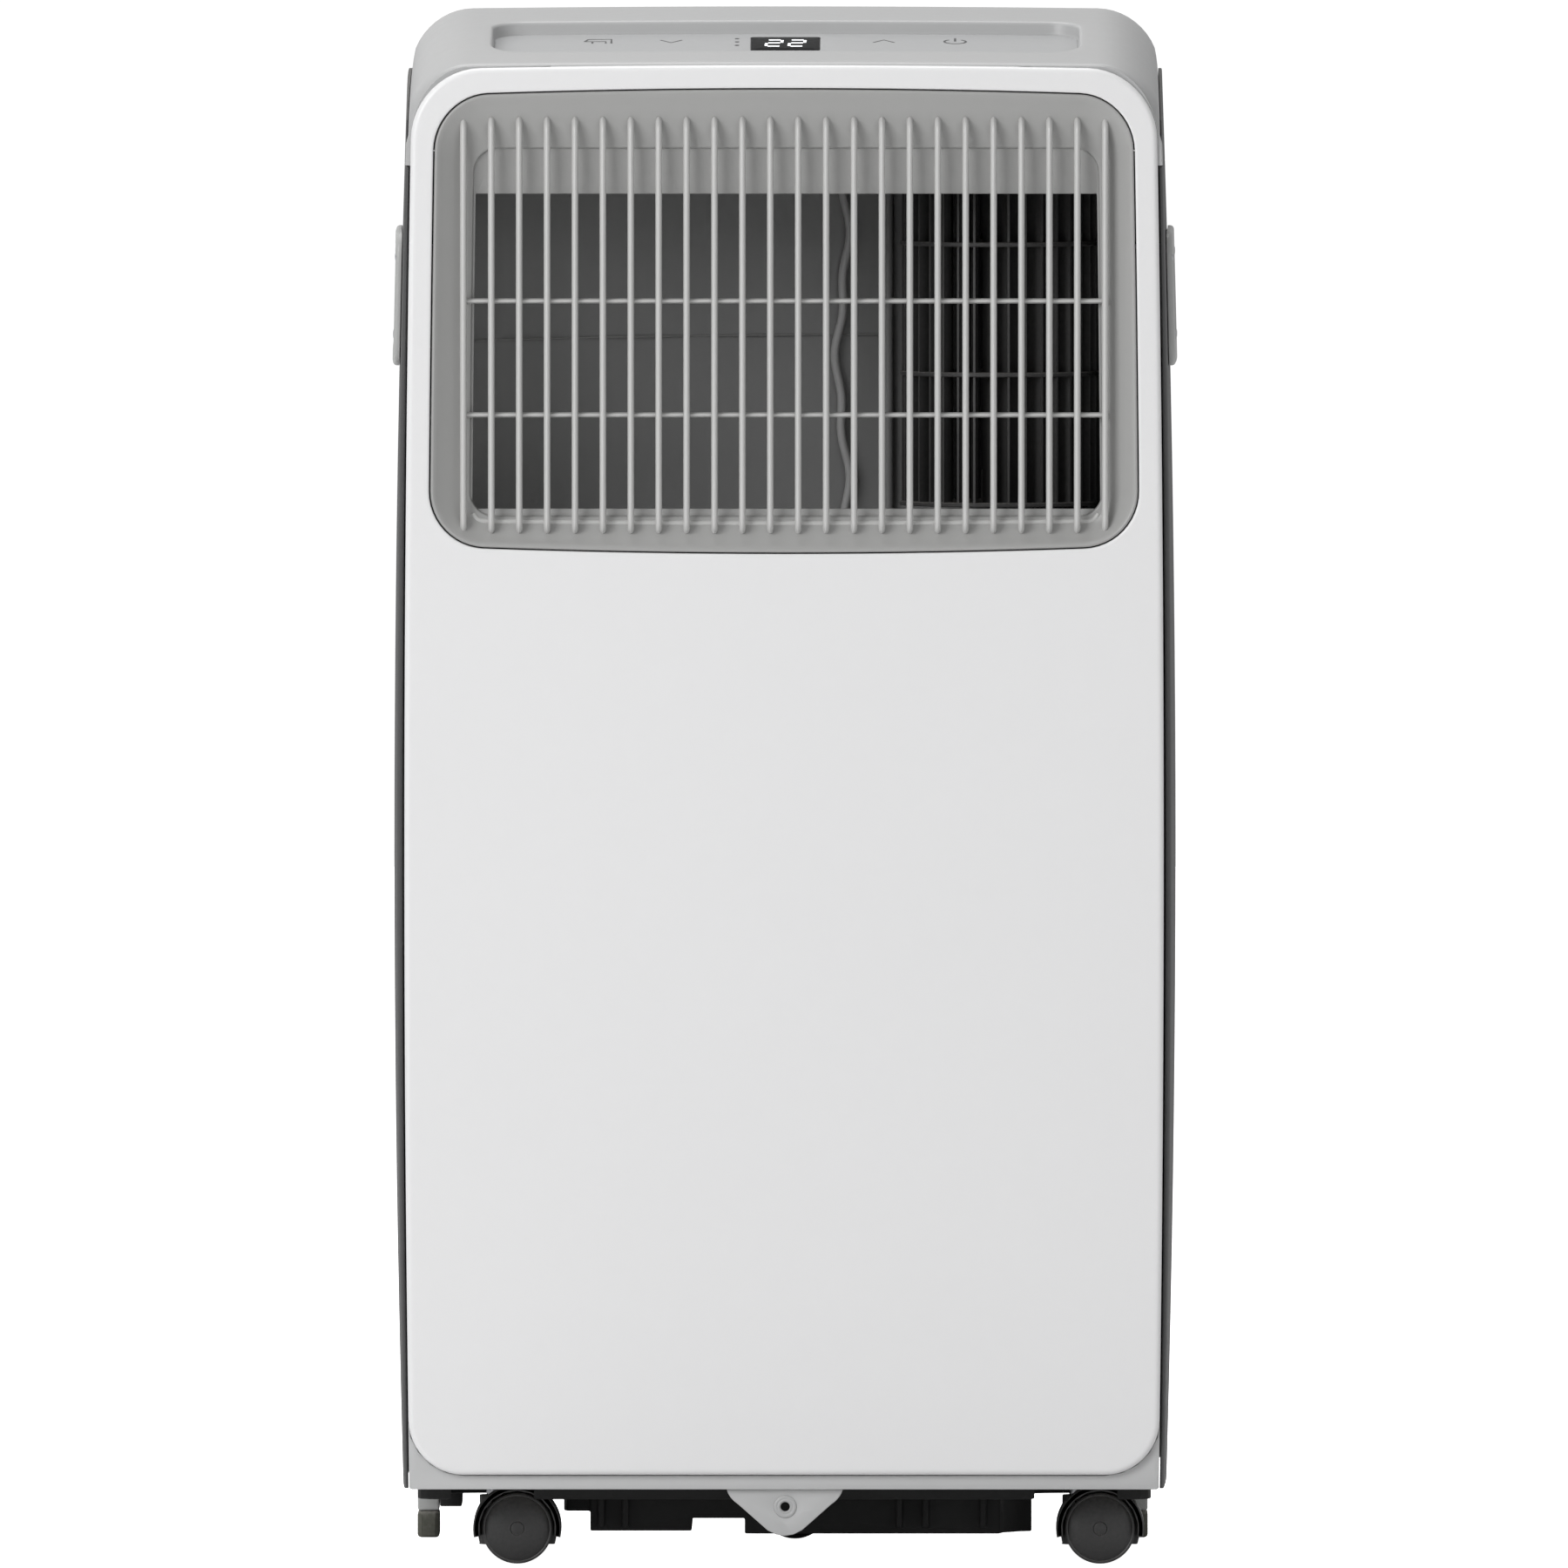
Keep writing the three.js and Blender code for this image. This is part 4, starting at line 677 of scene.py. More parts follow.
FAN_MOTOR = [(0, -44), (14, -44), (14, -40), (34, -40), (36, -37), (36, -16), (36, -15), (35.2, -14),
             (35.2, -9), (36, -8), (36, 8), (32, 12), (12, 12), (12, 24.5), (4, 24.5), (4, 38), (0, 38)]
low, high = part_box("fan_motor")
bracket = prism_mesh([(-3.5, -29.5), (43.5, -29.5), (43.5, -27.5), (42, -27.5), (42, -4.5), (43.5, -4.5),
                      (43.5, -2.5), (-3.5, -2.5), (-3.5, -4.5), (-2, -4.5), (-2, -27.5), (-3.5, -27.5)],
                     low.z / MM + 0.3, 169, "Z")
settle(joined("fan_motor", [spin("can", motor_profile(FAN_MOTOR), FAN_CENTRE, "Y", 72, can_steel),
                            linked("bracket", bracket, can_steel)]), "case", ["fan_motor"])

# ---- Mid deck and evaporator coil ----
# A black tray divides the hot lower half from the cold upper one, catches the drips and carries the
# evaporator.
deck_black = finish_of("deck_moulding", (0.014, 0.0142, 0.015), 0.5, worn=0.1, dusty=0.5, specular=0.3)
eased("mid_deck", ["mid_deck"], "case", deck_black, 0.4)
coil("evaporator_coil", -142, 140, 66, 104, 466, 650, 4)

# ---- Blower housing, cross-flow wheel and motor ----
# The scroll behind the outlet: a curved wall of dark grey plastic with a seam half way up, the wheel with
# its many thin blades upright in it, and the motor under the deck that drives it.
volute_grey = finish_of("volute_moulding", (0.25, 0.251, 0.252), 0.5, worn=0.1, dusty=0.2, specular=0.4)
eased("blower_housing", ["blower_housing"], "case", volute_grey, 0.35)


def volute_y(x):
    """Front face of the curved wall."""
    return float(np.interp(x, [-148, -132, -96, -40, 20, 72, 112],
                           [-145.6, -108, -70, -36, -14, -6, -9])) - 0.2


seam = [(x, volute_y(x), 554) for x in np.linspace(-140, 44, 47)]
strand = [(26 + 2.4 * math.sin(z * 0.055) + 1.1 * math.sin(z * 0.17), volute_y(26) - 2.5, z)
          for z in range(470, 661, 3)]
lip = [(47, volute_y(47) - 1.0, z) for z in range(470, 661, 10)]
settle(tube_along("volute_seam", seam, 0.45, volute_grey, 8), "case", ["blower_housing"])
seal_grey = finish_of("seal_bead", (0.42, 0.42, 0.42), 0.45, worn=0.0, dusty=0.2)
settle(tube_along("volute_seal", strand, 2.0, seal_grey, 10), "case", ["blower_housing"])
settle(tube_along("volute_lip", lip, 2.2, volute_grey, 10), "case", ["blower_housing"])
AXLE = (98, -60, 0)
wheel_grey = finish_of("wheel_moulding", (0.05, 0.05, 0.051), 0.4, worn=0.3, dusty=0.3, specular=0.4)
parts = []
for number in range(4):
    z = 478 + number * (657 - 478 - 2) / 3
    hole = 32.0 if number in (1, 2) else 3.3
    parts.append(spin("ring",
                      [(hole, z), (45.6, z), (46, z + 0.4), (46, z + 1.6), (45.6, z + 2), (hole, z + 2),
                               (hole, z)], AXLE, "Z", 72, wheel_grey))
parts.append(spin("hub", [(3.3, 479.5), (8.6, 479.5), (9, 480), (9, 493.5), (8.5, 494), (3.3, 494),
                          (3.3, 479.5)], AXLE,
                  "Z", 32, wheel_grey))
parts.append(spin("pin", [(0, 656), (3, 656), (3, 664.4), (2.4, 665), (0, 665)], AXLE, "Z", 24, wheel_grey))
blade = [(33.5, -2.4), (36, 0.2), (40, 2.2), (45.0, 3.0), (44.9, 4.0), (39.6, 3.3), (35.2, 1.3), (33.0, -1.2)]
parts.append(laid_out("blades", ROW_OF,
                      prism_mesh([(AXLE[0] + a, AXLE[1] + b) for a, b in blade], 479, 656.4, "Z"),
                      wheel_grey, Count=WHEEL_BLADES, Turn=(0, 0, 2 * math.pi / WHEEL_BLADES),
                      Pivot=(AXLE[0] * MM, AXLE[1] * MM, 0)))
settle(joined("cross_flow_wheel", parts), "cross_flow_wheel", ["cross_flow_wheel"])
BLOWER_MOTOR = [(0, 404), (12, 404), (12, 408), (32, 408), (34, 411), (34, 424), (33.2, 425), (33.2, 430),
                (34, 431), (34, 452), (30, 457), (12, 457), (12, 463), (3, 463), (3, 488), (0, 488)]
settle(spin("blower_motor", motor_profile(BLOWER_MOTOR), AXLE, "Z", 72, can_steel), "case", ["blower_motor"])


# ---- Refrigerant pipes ----
# Soft copper: discharge to the condenser, capillary up to the evaporator, suction back to the accumulator.
def through(points, steps=12):
    """A smooth line through every point, spaced by the square root of the distances."""
    p = [np.array(q, float) for q in points]
    p = [2 * p[0] - p[1]] + p + [2 * p[-1] - p[-2]]
    out = []
    for a, b, c, d in zip(p, p[1:], p[2:], p[3:]):
        t = np.cumsum([0] + [max(1e-6, np.linalg.norm(v - u)) ** 0.5 for u, v in ((a, b), (b, c), (c, d))])
        for s in np.linspace(t[1], t[2], steps, endpoint=False):
            mix = lambda u, v, i, j: (t[j] - s) / (t[j] - t[i]) * u + (s - t[i]) / (t[j] - t[i]) * v
            ab, bc, cd = mix(a, b, 0, 1), mix(b, c, 1, 2), mix(c, d, 2, 3)
            out.append(tuple(mix(mix(ab, bc, 0, 2), mix(bc, cd, 1, 3), 1, 2)))
    return out + [tuple(points[-1])]


ROUTES = {
    "discharge_pipe": (3.5,
                       [(-95, -70, 279), (-95, -68, 300), (-120, -20, 312), (-150, 60, 300), (-154, 104, 280),
                             (-152, 112, 262), (-143.4, 112, 257)]),
    "suction_pipe": (4.5,
                     [(-144.9, 80, 502), (-151, 80, 500), (-154, 76, 488), (-150, 62, 440), (-146, 30, 400),
                           (-90, -40, 340), (-30, -100, 300), (-20, -108, 272), (-20, -108, 246.6)]),
    "capillary_pipe": (1.6,
                       [(-143.4, 112, 84), (-150, 112, 88), (-156, 90, 150), (-157, 40, 250), (-157, 36, 330),
                             (-152, 62, 420), (-150, 94, 470), (-150, 96, 506), (-144.6, 96, 518)]),
}
for name, (radius, route) in ROUTES.items():
    settle(tube_along(name, through(route), radius, copper, 16), "case", [name])

# ---- Electrical box ----
# A folded and plated steel box with a lid, which holds the main board and the capacitors.
eased("electrical_box", ["electrical_box"], "case", can_steel, 0.4)


# ---- Front frame ----
# The light grey ring behind the white panel. It carries the panel, closes the case at the bottom and has
# the lug in its middle that one screw holds to the base pan.
light_grey = finish_of("light_grey_moulding", (0.41, 0.413, 0.415), 0.4, worn=0.1, dusty=0.06,
                       grain_depth=0.000022, spread=0.02)
# The frame is the same light grey plastic as the lid, set lighter here: painted light.
frame_grey_painted_light = finish_of("frame_moulding", (0.47, 0.473, 0.475), 0.42, worn=0.1, dusty=0.06,
                       grain_depth=0.000022, spread=0.02)
eased("front_frame", ["front_frame"], "case", frame_grey_painted_light, 0.5)
# A ring stands round the hole in the lug.
LUG_X, LUG_Z = 0.5, 27.7
lug_y = min(v.co.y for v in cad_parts["front_frame"].data.vertices if v.co.z < LUG_Z * MM) / MM
eyelet = [(2.1, 1.0), (2.1, -0.2), (2.7, -0.75), (3.5, -0.55), (4.2, -0.75), (4.9, -0.55), (5.2, -0.1),
          (5.2, 0.2), (2.3, 1.2), (2.1, 1.0)]
settle(spin("lug_eyelet", eyelet, (LUG_X, lug_y, LUG_Z), "Y", 48, light_grey), "case", ["front_frame"])


# ---- Outlet grille ----
# One grey moulding: a dish that curves back to a flat frame round the opening, with upright bars that run
# out of the dish at the top and back into it at the bottom, and two level rails that stiffen them. Its one
# grey is split in two: a darker copy on the dish is painted shade, and a lighter one on the bars, rails and
# lip is painted light.
SIDE_HALF, PANEL_HALF, WIDEST = 177.5, 171.6, 320.0
SIDE_BOW, PANEL_BOW = 5.0e-5, 2.8e-5


def flank_at(z):
    return SIDE_HALF - SIDE_BOW * (z - WIDEST) ** 2


def panel_at(z):
    return PANEL_HALF - PANEL_BOW * (z - WIDEST) ** 2


def bowed(x, z):
    """Where a point of the straight-sided drawing lies on the case, whose sides bow out in the middle."""
    reach, edge = abs(x), panel_at(z)
    if reach <= PANEL_HALF:
        return x * edge / PANEL_HALF
    return math.copysign(edge + (reach - PANEL_HALF) * (flank_at(z) - edge) / (SIDE_HALF - PANEL_HALF), x)


def rounded_outline(left, right, bottom, top, low_radius, high_radius, corner=12, side=(16, 24), crown=0.0,
                    dip=0.0):
    """A rounded oblong, anticlockwise from its lower right corner, with the same count of points at any size."""
    points = []
    corners = [(right - low_radius, bottom + low_radius, low_radius, -90),
               (right - high_radius, top - high_radius, high_radius, 0),
               (left + high_radius, top - high_radius, high_radius, 90),
               (left + low_radius, bottom + low_radius, low_radius, 180)]
    for number, (x, z, radius, start) in enumerate(corners):
        points += arc(x, z, radius, start, start + 90, corner)
        next_x, next_z, next_radius, next_start = corners[(number + 1) % 4]
        ahead = arc(next_x, next_z, next_radius, next_start, next_start, 1)[0]
        here, steps = points[-1], side[(number + 1) % 2]
        points += [(here[0] + (ahead[0] - here[0]) * k / steps, here[1] + (ahead[1] - here[1]) * k / steps)
                   for k in range(1, steps)]
    half, middle = (right - left) / 2, (bottom + top) / 2
    centre = (left + right) / 2
    return [(x, z + (crown if z > middle else -dip) * (1 - min(1, abs(x - centre) / half) ** 2))
            for x, z in points]


def rings_mesh(rings, close=True):
    """Faces between rings of equal count, and back from the last ring to the first when closed."""
    count = len(rings[0])
    verts = [point for ring in rings for point in ring]
    pairs = [(i, i + 1) for i in range(len(rings) - 1)] + ([(len(rings) - 1, 0)] if close else [])
    faces = [[a * count + k, a * count + (k + 1) % count, b * count + (k + 1) % count, b * count + k]
             for a, b in pairs for k in range(count)]
    return verts, faces


def in_front(points, y):
    """An outline of the front view at a depth, on the bowed case, in metres."""
    return [(bowed(x, z) * MM, y * MM, z * MM) for x, z in points]


def outlet_outline(grow, radius=25.0):
    return rounded_outline(-161.2 - grow, 161.2 + grow, 462.2 - grow, 666.3 + grow, radius + grow,
                           radius + grow, crown=3.1, dip=3.4)


FRAME_EDGE = rounded_outline(-143.2, 145.0, 474.5, 643.0, 12, 12)
FRAME_INNER = rounded_outline(-142.4, 144.3, 475.9, 641.8, 11, 11)
OPENING = rounded_outline(-141.5, 143.5, 479.0, 621.4, 0.8, 0.8)
DISH_FRONT, DISH_BACK, GRILLE_BACK = -171.3, -162.4, -156.0


def between(outer, inner, share):
    return [(a[0] + (b[0] - a[0]) * share, a[1] + (b[1] - a[1]) * share) for a, b in zip(outer, inner)]


# Two copies of the grille's one grey: the lighter one is painted light, the darker one painted shade.
grille_grey_painted_light = finish_of("satin_grille_grey", (0.52, 0.52, 0.512), 0.33, worn=0.12, dusty=0.05,
                        grain_depth=0.000015, spread=0.02)
dish_grey_painted_shade = finish_of("satin_dish_grey", (0.35, 0.35, 0.345), 0.33, worn=0.12, dusty=0.05,
                      grain_depth=0.000015, spread=0.02)
rim = outlet_outline(-2.0)
dish = [in_front(outlet_outline(-0.7), GRILLE_BACK), in_front(outlet_outline(-0.6), DISH_FRONT + 1.0),
        in_front(outlet_outline(-0.75), DISH_FRONT + 0.4), in_front(outlet_outline(-1.1), DISH_FRONT + 0.1),
        in_front(outlet_outline(-1.6), DISH_FRONT)]
for step in range(11):
    share = step / 10
    depth = DISH_FRONT + 0.15 + (DISH_BACK - DISH_FRONT - 0.15) * math.sin(share * math.pi / 2) ** 0.9
    dish.append(in_front(between(rim, FRAME_EDGE, share), depth))
dish += [in_front(between(FRAME_EDGE, FRAME_INNER, 0.35), DISH_BACK + 0.1),
         in_front(between(FRAME_EDGE, FRAME_INNER, 0.7), DISH_BACK + 0.5),
         in_front(between(FRAME_EDGE, FRAME_INNER, 0.9), DISH_BACK + 1.1),
         in_front(FRAME_INNER, DISH_BACK + 1.7),
         in_front(between(FRAME_INNER, OPENING, 0.1), DISH_BACK + 2.0),
         in_front(between(FRAME_INNER, OPENING, 0.5), DISH_BACK + 2.1),
         in_front(between(FRAME_INNER, OPENING, 0.97), DISH_BACK + 2.2), in_front(OPENING, DISH_BACK + 2.7),
         in_front(OPENING, GRILLE_BACK)]
settle(moulded("outlet_dish", *rings_mesh(dish), dish_grey_painted_shade, 40), "case", ["outlet_grille"])
# The opening has a rolled lip along its lower edge, which turns up at both ends. It takes the bars' lighter
# grey, which is painted light.
BEAD_Y, BEAD_Z, BEAD_HALF = -161.9, 473.4, 136.5
bead = [(0.75 - BEAD_HALF - 5 * math.cos(t), BEAD_Y, BEAD_Z + 5 - 5 * math.sin(t))
        for t in np.linspace(0.3, math.pi / 2, 7)]
bead += [(0.75 + BEAD_HALF * s, BEAD_Y, BEAD_Z - 0.9 * (1 - s * s)) for s in np.linspace(-0.9, 0.9, 19)]
bead += [(1.5 - x, y, z) for x, y, z in bead[6::-1]]
settle(tube_along("outlet_bead", bead, 1.3, grille_grey_painted_light, 12), "case", ["outlet_grille"])


def bar_tree():
    """Bars: the object's own line is given a round-fronted section and set out at an even pitch."""
    tree = bpy.data.node_groups.new("outlet_bars", "GeometryNodeTree")
    tree.interface.new_socket(name="Geometry", in_out="INPUT", socket_type="NodeSocketGeometry")
    for label, kind in (("Count", "NodeSocketInt"), ("First", "NodeSocketVector"),
                        ("Last", "NodeSocketVector"),
                        ("Width", FLOAT), ("Depth", FLOAT), ("Sides", "NodeSocketInt"),
                        ("Finish", "NodeSocketMaterial")):
        tree.interface.new_socket(name=label, in_out="INPUT", socket_type=kind)
    tree.interface.new_socket(name="Geometry", in_out="OUTPUT", socket_type="NodeSocketGeometry")
    given, made = tree.nodes.new("NodeGroupInput"), tree.nodes.new("NodeGroupOutput")
    link = tree.links.new
    line = tree.nodes.new("GeometryNodeMeshToCurve")
    link(given.outputs["Geometry"], line.inputs["Mesh"])
    section = tree.nodes.new("GeometryNodeCurvePrimitiveCircle")
    link(given.outputs["Sides"], section.inputs["Resolution"])
    section.inputs["Radius"].default_value = 0.5
    size = tree.nodes.new("ShaderNodeCombineXYZ")
    link(given.outputs["Width"], size.inputs["X"])
    link(given.outputs["Depth"], size.inputs["Y"])
    size.inputs["Z"].default_value = 1.0
    shaped = tree.nodes.new("GeometryNodeTransform")
    link(section.outputs["Curve"], shaped.inputs["Geometry"])
    link(size.outputs[0], shaped.inputs["Scale"])
    bar = tree.nodes.new("GeometryNodeCurveToMesh")
    link(line.outputs["Curve"], bar.inputs["Curve"])
    link(shaped.outputs["Geometry"], bar.inputs["Profile Curve"])
    bar.inputs["Fill Caps"].default_value = True
    row = tree.nodes.new("GeometryNodeMeshLine")
    row.mode = "END_POINTS"
    link(given.outputs["Count"], row.inputs["Count"])
    link(given.outputs["First"], row.inputs["Start Location"])
    link(given.outputs["Last"], row.inputs["Offset"])
    copies = tree.nodes.new("GeometryNodeInstanceOnPoints")
    link(row.outputs["Mesh"], copies.inputs["Points"])
    link(bar.outputs["Mesh"], copies.inputs["Instance"])
    whole = tree.nodes.new("GeometryNodeRealizeInstances")
    link(copies.outputs["Instances"], whole.inputs["Geometry"])
    finish = tree.nodes.new("GeometryNodeSetMaterial")
    link(whole.outputs["Geometry"], finish.inputs["Geometry"])
    link(given.outputs["Finish"], finish.inputs["Material"])
    link(finish.outputs["Geometry"], made.inputs["Geometry"])
    return tree


BARS = bar_tree()


def line_mesh(points):
    mesh = bpy.data.meshes.new("line")
    mesh.from_pydata([[c * MM for c in p] for p in points], [(k, k + 1) for k in range(len(points) - 1)], [])
    return mesh


BAR_Y, BAR_TOP, BAR_LOW = -168.0, 655.4, 469.8
bar_line = [(0, -161.5, BAR_TOP)] + [(0, y, z) for y, z in arc(-163, BAR_TOP - 6.2, 5.0, 95, 180, 8)]
bar_line += [(0, BAR_Y, z) for z in (610, 573, 540, 521.5, 490)]
bar_line += [(0, y, z) for y, z in arc(-163, BAR_LOW + 5.2, 5.0, 180, 262, 8)] + [(0, -161.0, BAR_LOW)]
bars = laid_out("grille_bars", BARS, line_mesh(bar_line), grille_grey_painted_light, Count=24, First=(-0.1449, 0, 0),
                Last=(0.1451, 0, 0), Width=3.0 * MM, Depth=5.0 * MM, Sides=16)
settle(bars, "case", ["outlet_grille"])
rails = laid_out("grille_rails", BARS,
                 line_mesh([(-144, -163.2, 521.5), (0, -163.2, 521.5), (146, -163.2, 521.5)]),
                 grille_grey_painted_light, Count=2, First=(0, 0, 0), Last=(0, 0, 51.5 * MM), Width=6.0 * MM,
                 Depth=2.4 * MM, Sides=16)
settle(rails, "case", ["outlet_grille"])


# ---- Front panel ----
# The white gloss-satin front: a shallow tray with a rounded rim and a turned-in edge round the outlet. It
# snaps into the front frame.
white_panel = finish_of("white_panel", (0.74, 0.74, 0.745), 0.34, worn=0.06, dusty=0.03, grain_depth=0.00001,
                        worn_colour=(0.78, 0.78, 0.78), spread=0.01, mottle=0.03, edge=0.0006)


def panel_outline(grow):
    return rounded_outline(-PANEL_HALF - grow, PANEL_HALF + grow, 42.3 - grow, 677.8 + grow, 24.8 + grow,
                           31.5 + grow, crown=1.9)


PANEL_FRONT, PANEL_BACK, PANEL_WALL, RIM_RADIUS = -172.5, -160.0, 3.0, 2.6
panel = [in_front(panel_outline(-0.2), PANEL_BACK), in_front(panel_outline(0), PANEL_BACK - 0.4)]
panel += [in_front(panel_outline(a - RIM_RADIUS), y) for a, y in
          arc(0, PANEL_FRONT + RIM_RADIUS, RIM_RADIUS, 0, -90, 8)]
panel += [in_front(panel_outline(-RIM_RADIUS - 0.6), PANEL_FRONT), in_front(outlet_outline(1.6), PANEL_FRONT),
          in_front(outlet_outline(0.9), PANEL_FRONT), in_front(outlet_outline(0.35), PANEL_FRONT + 0.15),
          in_front(outlet_outline(0.0), PANEL_FRONT + 0.6), in_front(outlet_outline(0), PANEL_BACK - 3),
          in_front(outlet_outline(0.8), PANEL_BACK - 2.4),
          in_front(outlet_outline(PANEL_WALL), PANEL_BACK - 3),
          in_front(outlet_outline(PANEL_WALL), PANEL_FRONT + PANEL_WALL),
          in_front(panel_outline(-PANEL_WALL), PANEL_FRONT + PANEL_WALL),
          in_front(panel_outline(-PANEL_WALL), PANEL_BACK)]
settle(moulded("front_panel", *rings_mesh(panel), white_panel, 40), "case", ["front_panel"])


# ---- Side panels ----
# Dark grey flanks in ABS, each in one piece from the front lip round the rear corner, bowed in both
# directions and cut out for the carrying handle. Lugs along their edges hook into the frames.
dark_case = finish_of("dark_case", (0.052, 0.0525, 0.054), 0.5, worn=0.2, dusty=0.12, grain_depth=0.00004,
                      worn_colour=(0.085, 0.086, 0.088))
FLANK_BULGE, BULGE_FROM, BULGE_OVER = 2.2, -10.0, 150.0
CORNER_RADIUS, BACK_FACE = 28.0, 168.0
WALL = 3.0


def bulge_at(y):
    return FLANK_BULGE * ((BULGE_FROM - y) / BULGE_OVER) ** 2 if y < BULGE_FROM else 0.0


def flank_run(start, stops=()):
    """Plan points down one flank and round its rear corner, each with its inward direction."""
    run = sorted(set(list(np.linspace(start, 140, 40).round(3)) + list(stops)))
    points = [((SIDE_HALF - bulge_at(y), y), (-1.0, 0.0)) for y in run]
    centre = SIDE_HALF - CORNER_RADIUS
    for turn in np.linspace(0, math.pi / 2, 15)[1:]:
        away = (math.cos(turn), math.sin(turn))
        points.append(((centre + CORNER_RADIUS * away[0], 140 + CORNER_RADIUS * away[1]),
                       (-away[0], -away[1])))
    return points


HANDLE_Y, HANDLE_Z = -75.0, 573.5
POCKET_HALF_LENGTH, POCKET_HALF_HEIGHT = 50.0, 20.0
WINDOW_Y = (HANDLE_Y - POCKET_HALF_LENGTH - 4, HANDLE_Y + POCKET_HALF_LENGTH + 4)
WINDOW_Z = (HANDLE_Z - POCKET_HALF_HEIGHT - 4, HANDLE_Z + POCKET_HALF_HEIGHT + 4)
SEAM_Z, PANEL_LOW = 633.7, 36.0
lip = [((PANEL_HALF + 0.7, -157.0), (0, 0)), ((PANEL_HALF + 0.7, -165.4), (0, 0)),
       ((PANEL_HALF + 1.0, -166.1), (0, 0)),
       ((PANEL_HALF + 1.6, -166.45), (0, 0)), ((PANEL_HALF + 2.3, -166.4), (0, 0)),
       ((SIDE_HALF - 3.05, -165.6), (0, 0)), ((SIDE_HALF - 2.6, -164.0), (0, 0))]
flank = flank_run(-161.5, WINDOW_Y)
end_line = [((x, BACK_FACE), (0.0, -1.0)) for x in (140, 131, 121.4)] + [((120.8, BACK_FACE - 0.2), (0, 0)),
                                                                          ((120.5, BACK_FACE - 0.7), (0, 0))]
outline = lip + flank + end_line
inside = [(SIDE_HALF - WALL, y) if ny == 0 else (x + nx * WALL, y + ny * WALL)
          for (x, y), (nx, ny) in flank if y > -156]
inside = [(SIDE_HALF - WALL, -155.0)] + [p for p in inside if p[1] > -155] + [
    (x, BACK_FACE - WALL) for x in (140, 131, 120.5)]
loop = [p for p, _ in outline] + inside[::-1]
levels = [PANEL_LOW, PANEL_LOW + 0.15, PANEL_LOW + 0.6, 44, 56, 80] + list(np.arange(110, 530, 30.0)) + [
    535, WINDOW_Z[0], 560, 573.5, 586, WINDOW_Z[1], 612, SEAM_Z - 0.6, SEAM_Z - 0.15, SEAM_Z]
inset_at = {levels[0]: 0.6, levels[1]: 0.25, levels[-2]: 0.25, SEAM_Z: 0.6}
outer_count = len(outline)


def mirrored_pair(name_right, name_left, verts, faces, material, body, nodes, angle=32):
    """The right-hand piece and its mirror image for the left."""
    for side, sign in ((name_right, 1), (name_left, -1)):
        flipped = [(sign * x, y, z) for x, y, z in verts]
        settle(moulded(side, flipped, faces, material, angle), body, [nodes[0 if sign > 0 else 1]])


def shrunk(loop_points, count, inset):
    """The outer part of a plan loop drawn in by an inset, for an eased top or bottom edge."""
    result = list(loop_points)
    for k in range(1, count - 1):
        (ax, ay), (bx, by) = loop_points[k - 1], loop_points[k + 1]
        length = math.hypot(bx - ax, by - ay)
        result[k] = (loop_points[k][0] - (by - ay) / length * inset,
                     loop_points[k][1] + (bx - ax) / length * inset)
    return result


rows = []
for z in levels:
    plan = shrunk(loop, outer_count, inset_at.get(z, 0.0))
    rows.append([(bowed(x, z) * MM, y * MM, z * MM) for x, y in plan])
count = len(loop)
verts = [p for row in rows for p in row]
window_rows = [i for i in range(len(levels) - 1) if WINDOW_Z[0] <= levels[i] < WINDOW_Z[1] - 0.01]
faces = []
for i in range(len(levels) - 1):
    for k in range(count):
        nxt = (k + 1) % count
        ya, yb = loop[k][1], loop[nxt][1]
        on_flank = loop[k][0] > SIDE_HALF - 6 and loop[nxt][0] > SIDE_HALF - 6
        if i in window_rows and on_flank and min(ya, yb) >= WINDOW_Y[0] - 0.01 and max(ya, yb) <= WINDOW_Y[1] + 0.01:
            continue
        faces.append([i * count + k, i * count + nxt, (i + 1) * count + nxt, (i + 1) * count + k])


def strip_faces(count, outer_count, offset):
    """Faces that close the end of a wall between its outer and inner lines."""
    a, b, made = 0, count - 1, []
    inner_low = outer_count
    while a < outer_count - 1 or b > inner_low:
        step_a = a / max(1, outer_count - 1)
        step_b = (count - 1 - b) / max(1, count - 1 - inner_low)
        if b <= inner_low or (a < outer_count - 1 and step_a <= step_b):
            made.append([offset + a, offset + a + 1, offset + b])
            a += 1
        else:
            made.append([offset + a, offset + b - 1, offset + b])
            b -= 1
    return made


faces += strip_faces(count, outer_count, 0) + strip_faces(count, outer_count, (len(levels) - 1) * count)
out_cols = [k for k in range(outer_count)
            if abs(loop[k][1] - WINDOW_Y[0]) < 0.01 or abs(loop[k][1] - WINDOW_Y[1]) < 0.01]
in_cols = [k for k in range(outer_count, count)
           if abs(loop[k][1] - WINDOW_Y[0]) < 0.01 or abs(loop[k][1] - WINDOW_Y[1]) < 0.01]
out_cols, in_cols = sorted(out_cols), sorted(in_cols, reverse=True)
low_row, high_row = window_rows[0], window_rows[-1] + 1
for a, b in zip(out_cols, in_cols):
    faces += [[i * count + a, (i + 1) * count + a, (i + 1) * count + b, i * count + b] for i in window_rows]
spans = list(zip(range(out_cols[0], out_cols[1]), range(in_cols[0], in_cols[1], -1)))
for row in (low_row, high_row):
    faces += [[row * count + a, row * count + a + 1, row * count + b - 1, row * count + b] for a, b in spans]
mirrored_pair("side_panel_right", "side_panel_left", verts, faces, dark_case, "case",
              ("side_panel_right", "side_panel_left"), 40)


# ---- Upper case ----
# The dark band above the side panels, in one piece round the back. Its top edge follows the cover.
TOP_Z, RIDGE_Y, TOP_CURVE, UPPER_DROP = 703.0, -5.0, 1178.0, 28.0


def top_drop(y):
    """How far the top surface has fallen below its ridge."""
    return (y - RIDGE_Y) ** 2 / TOP_CURVE


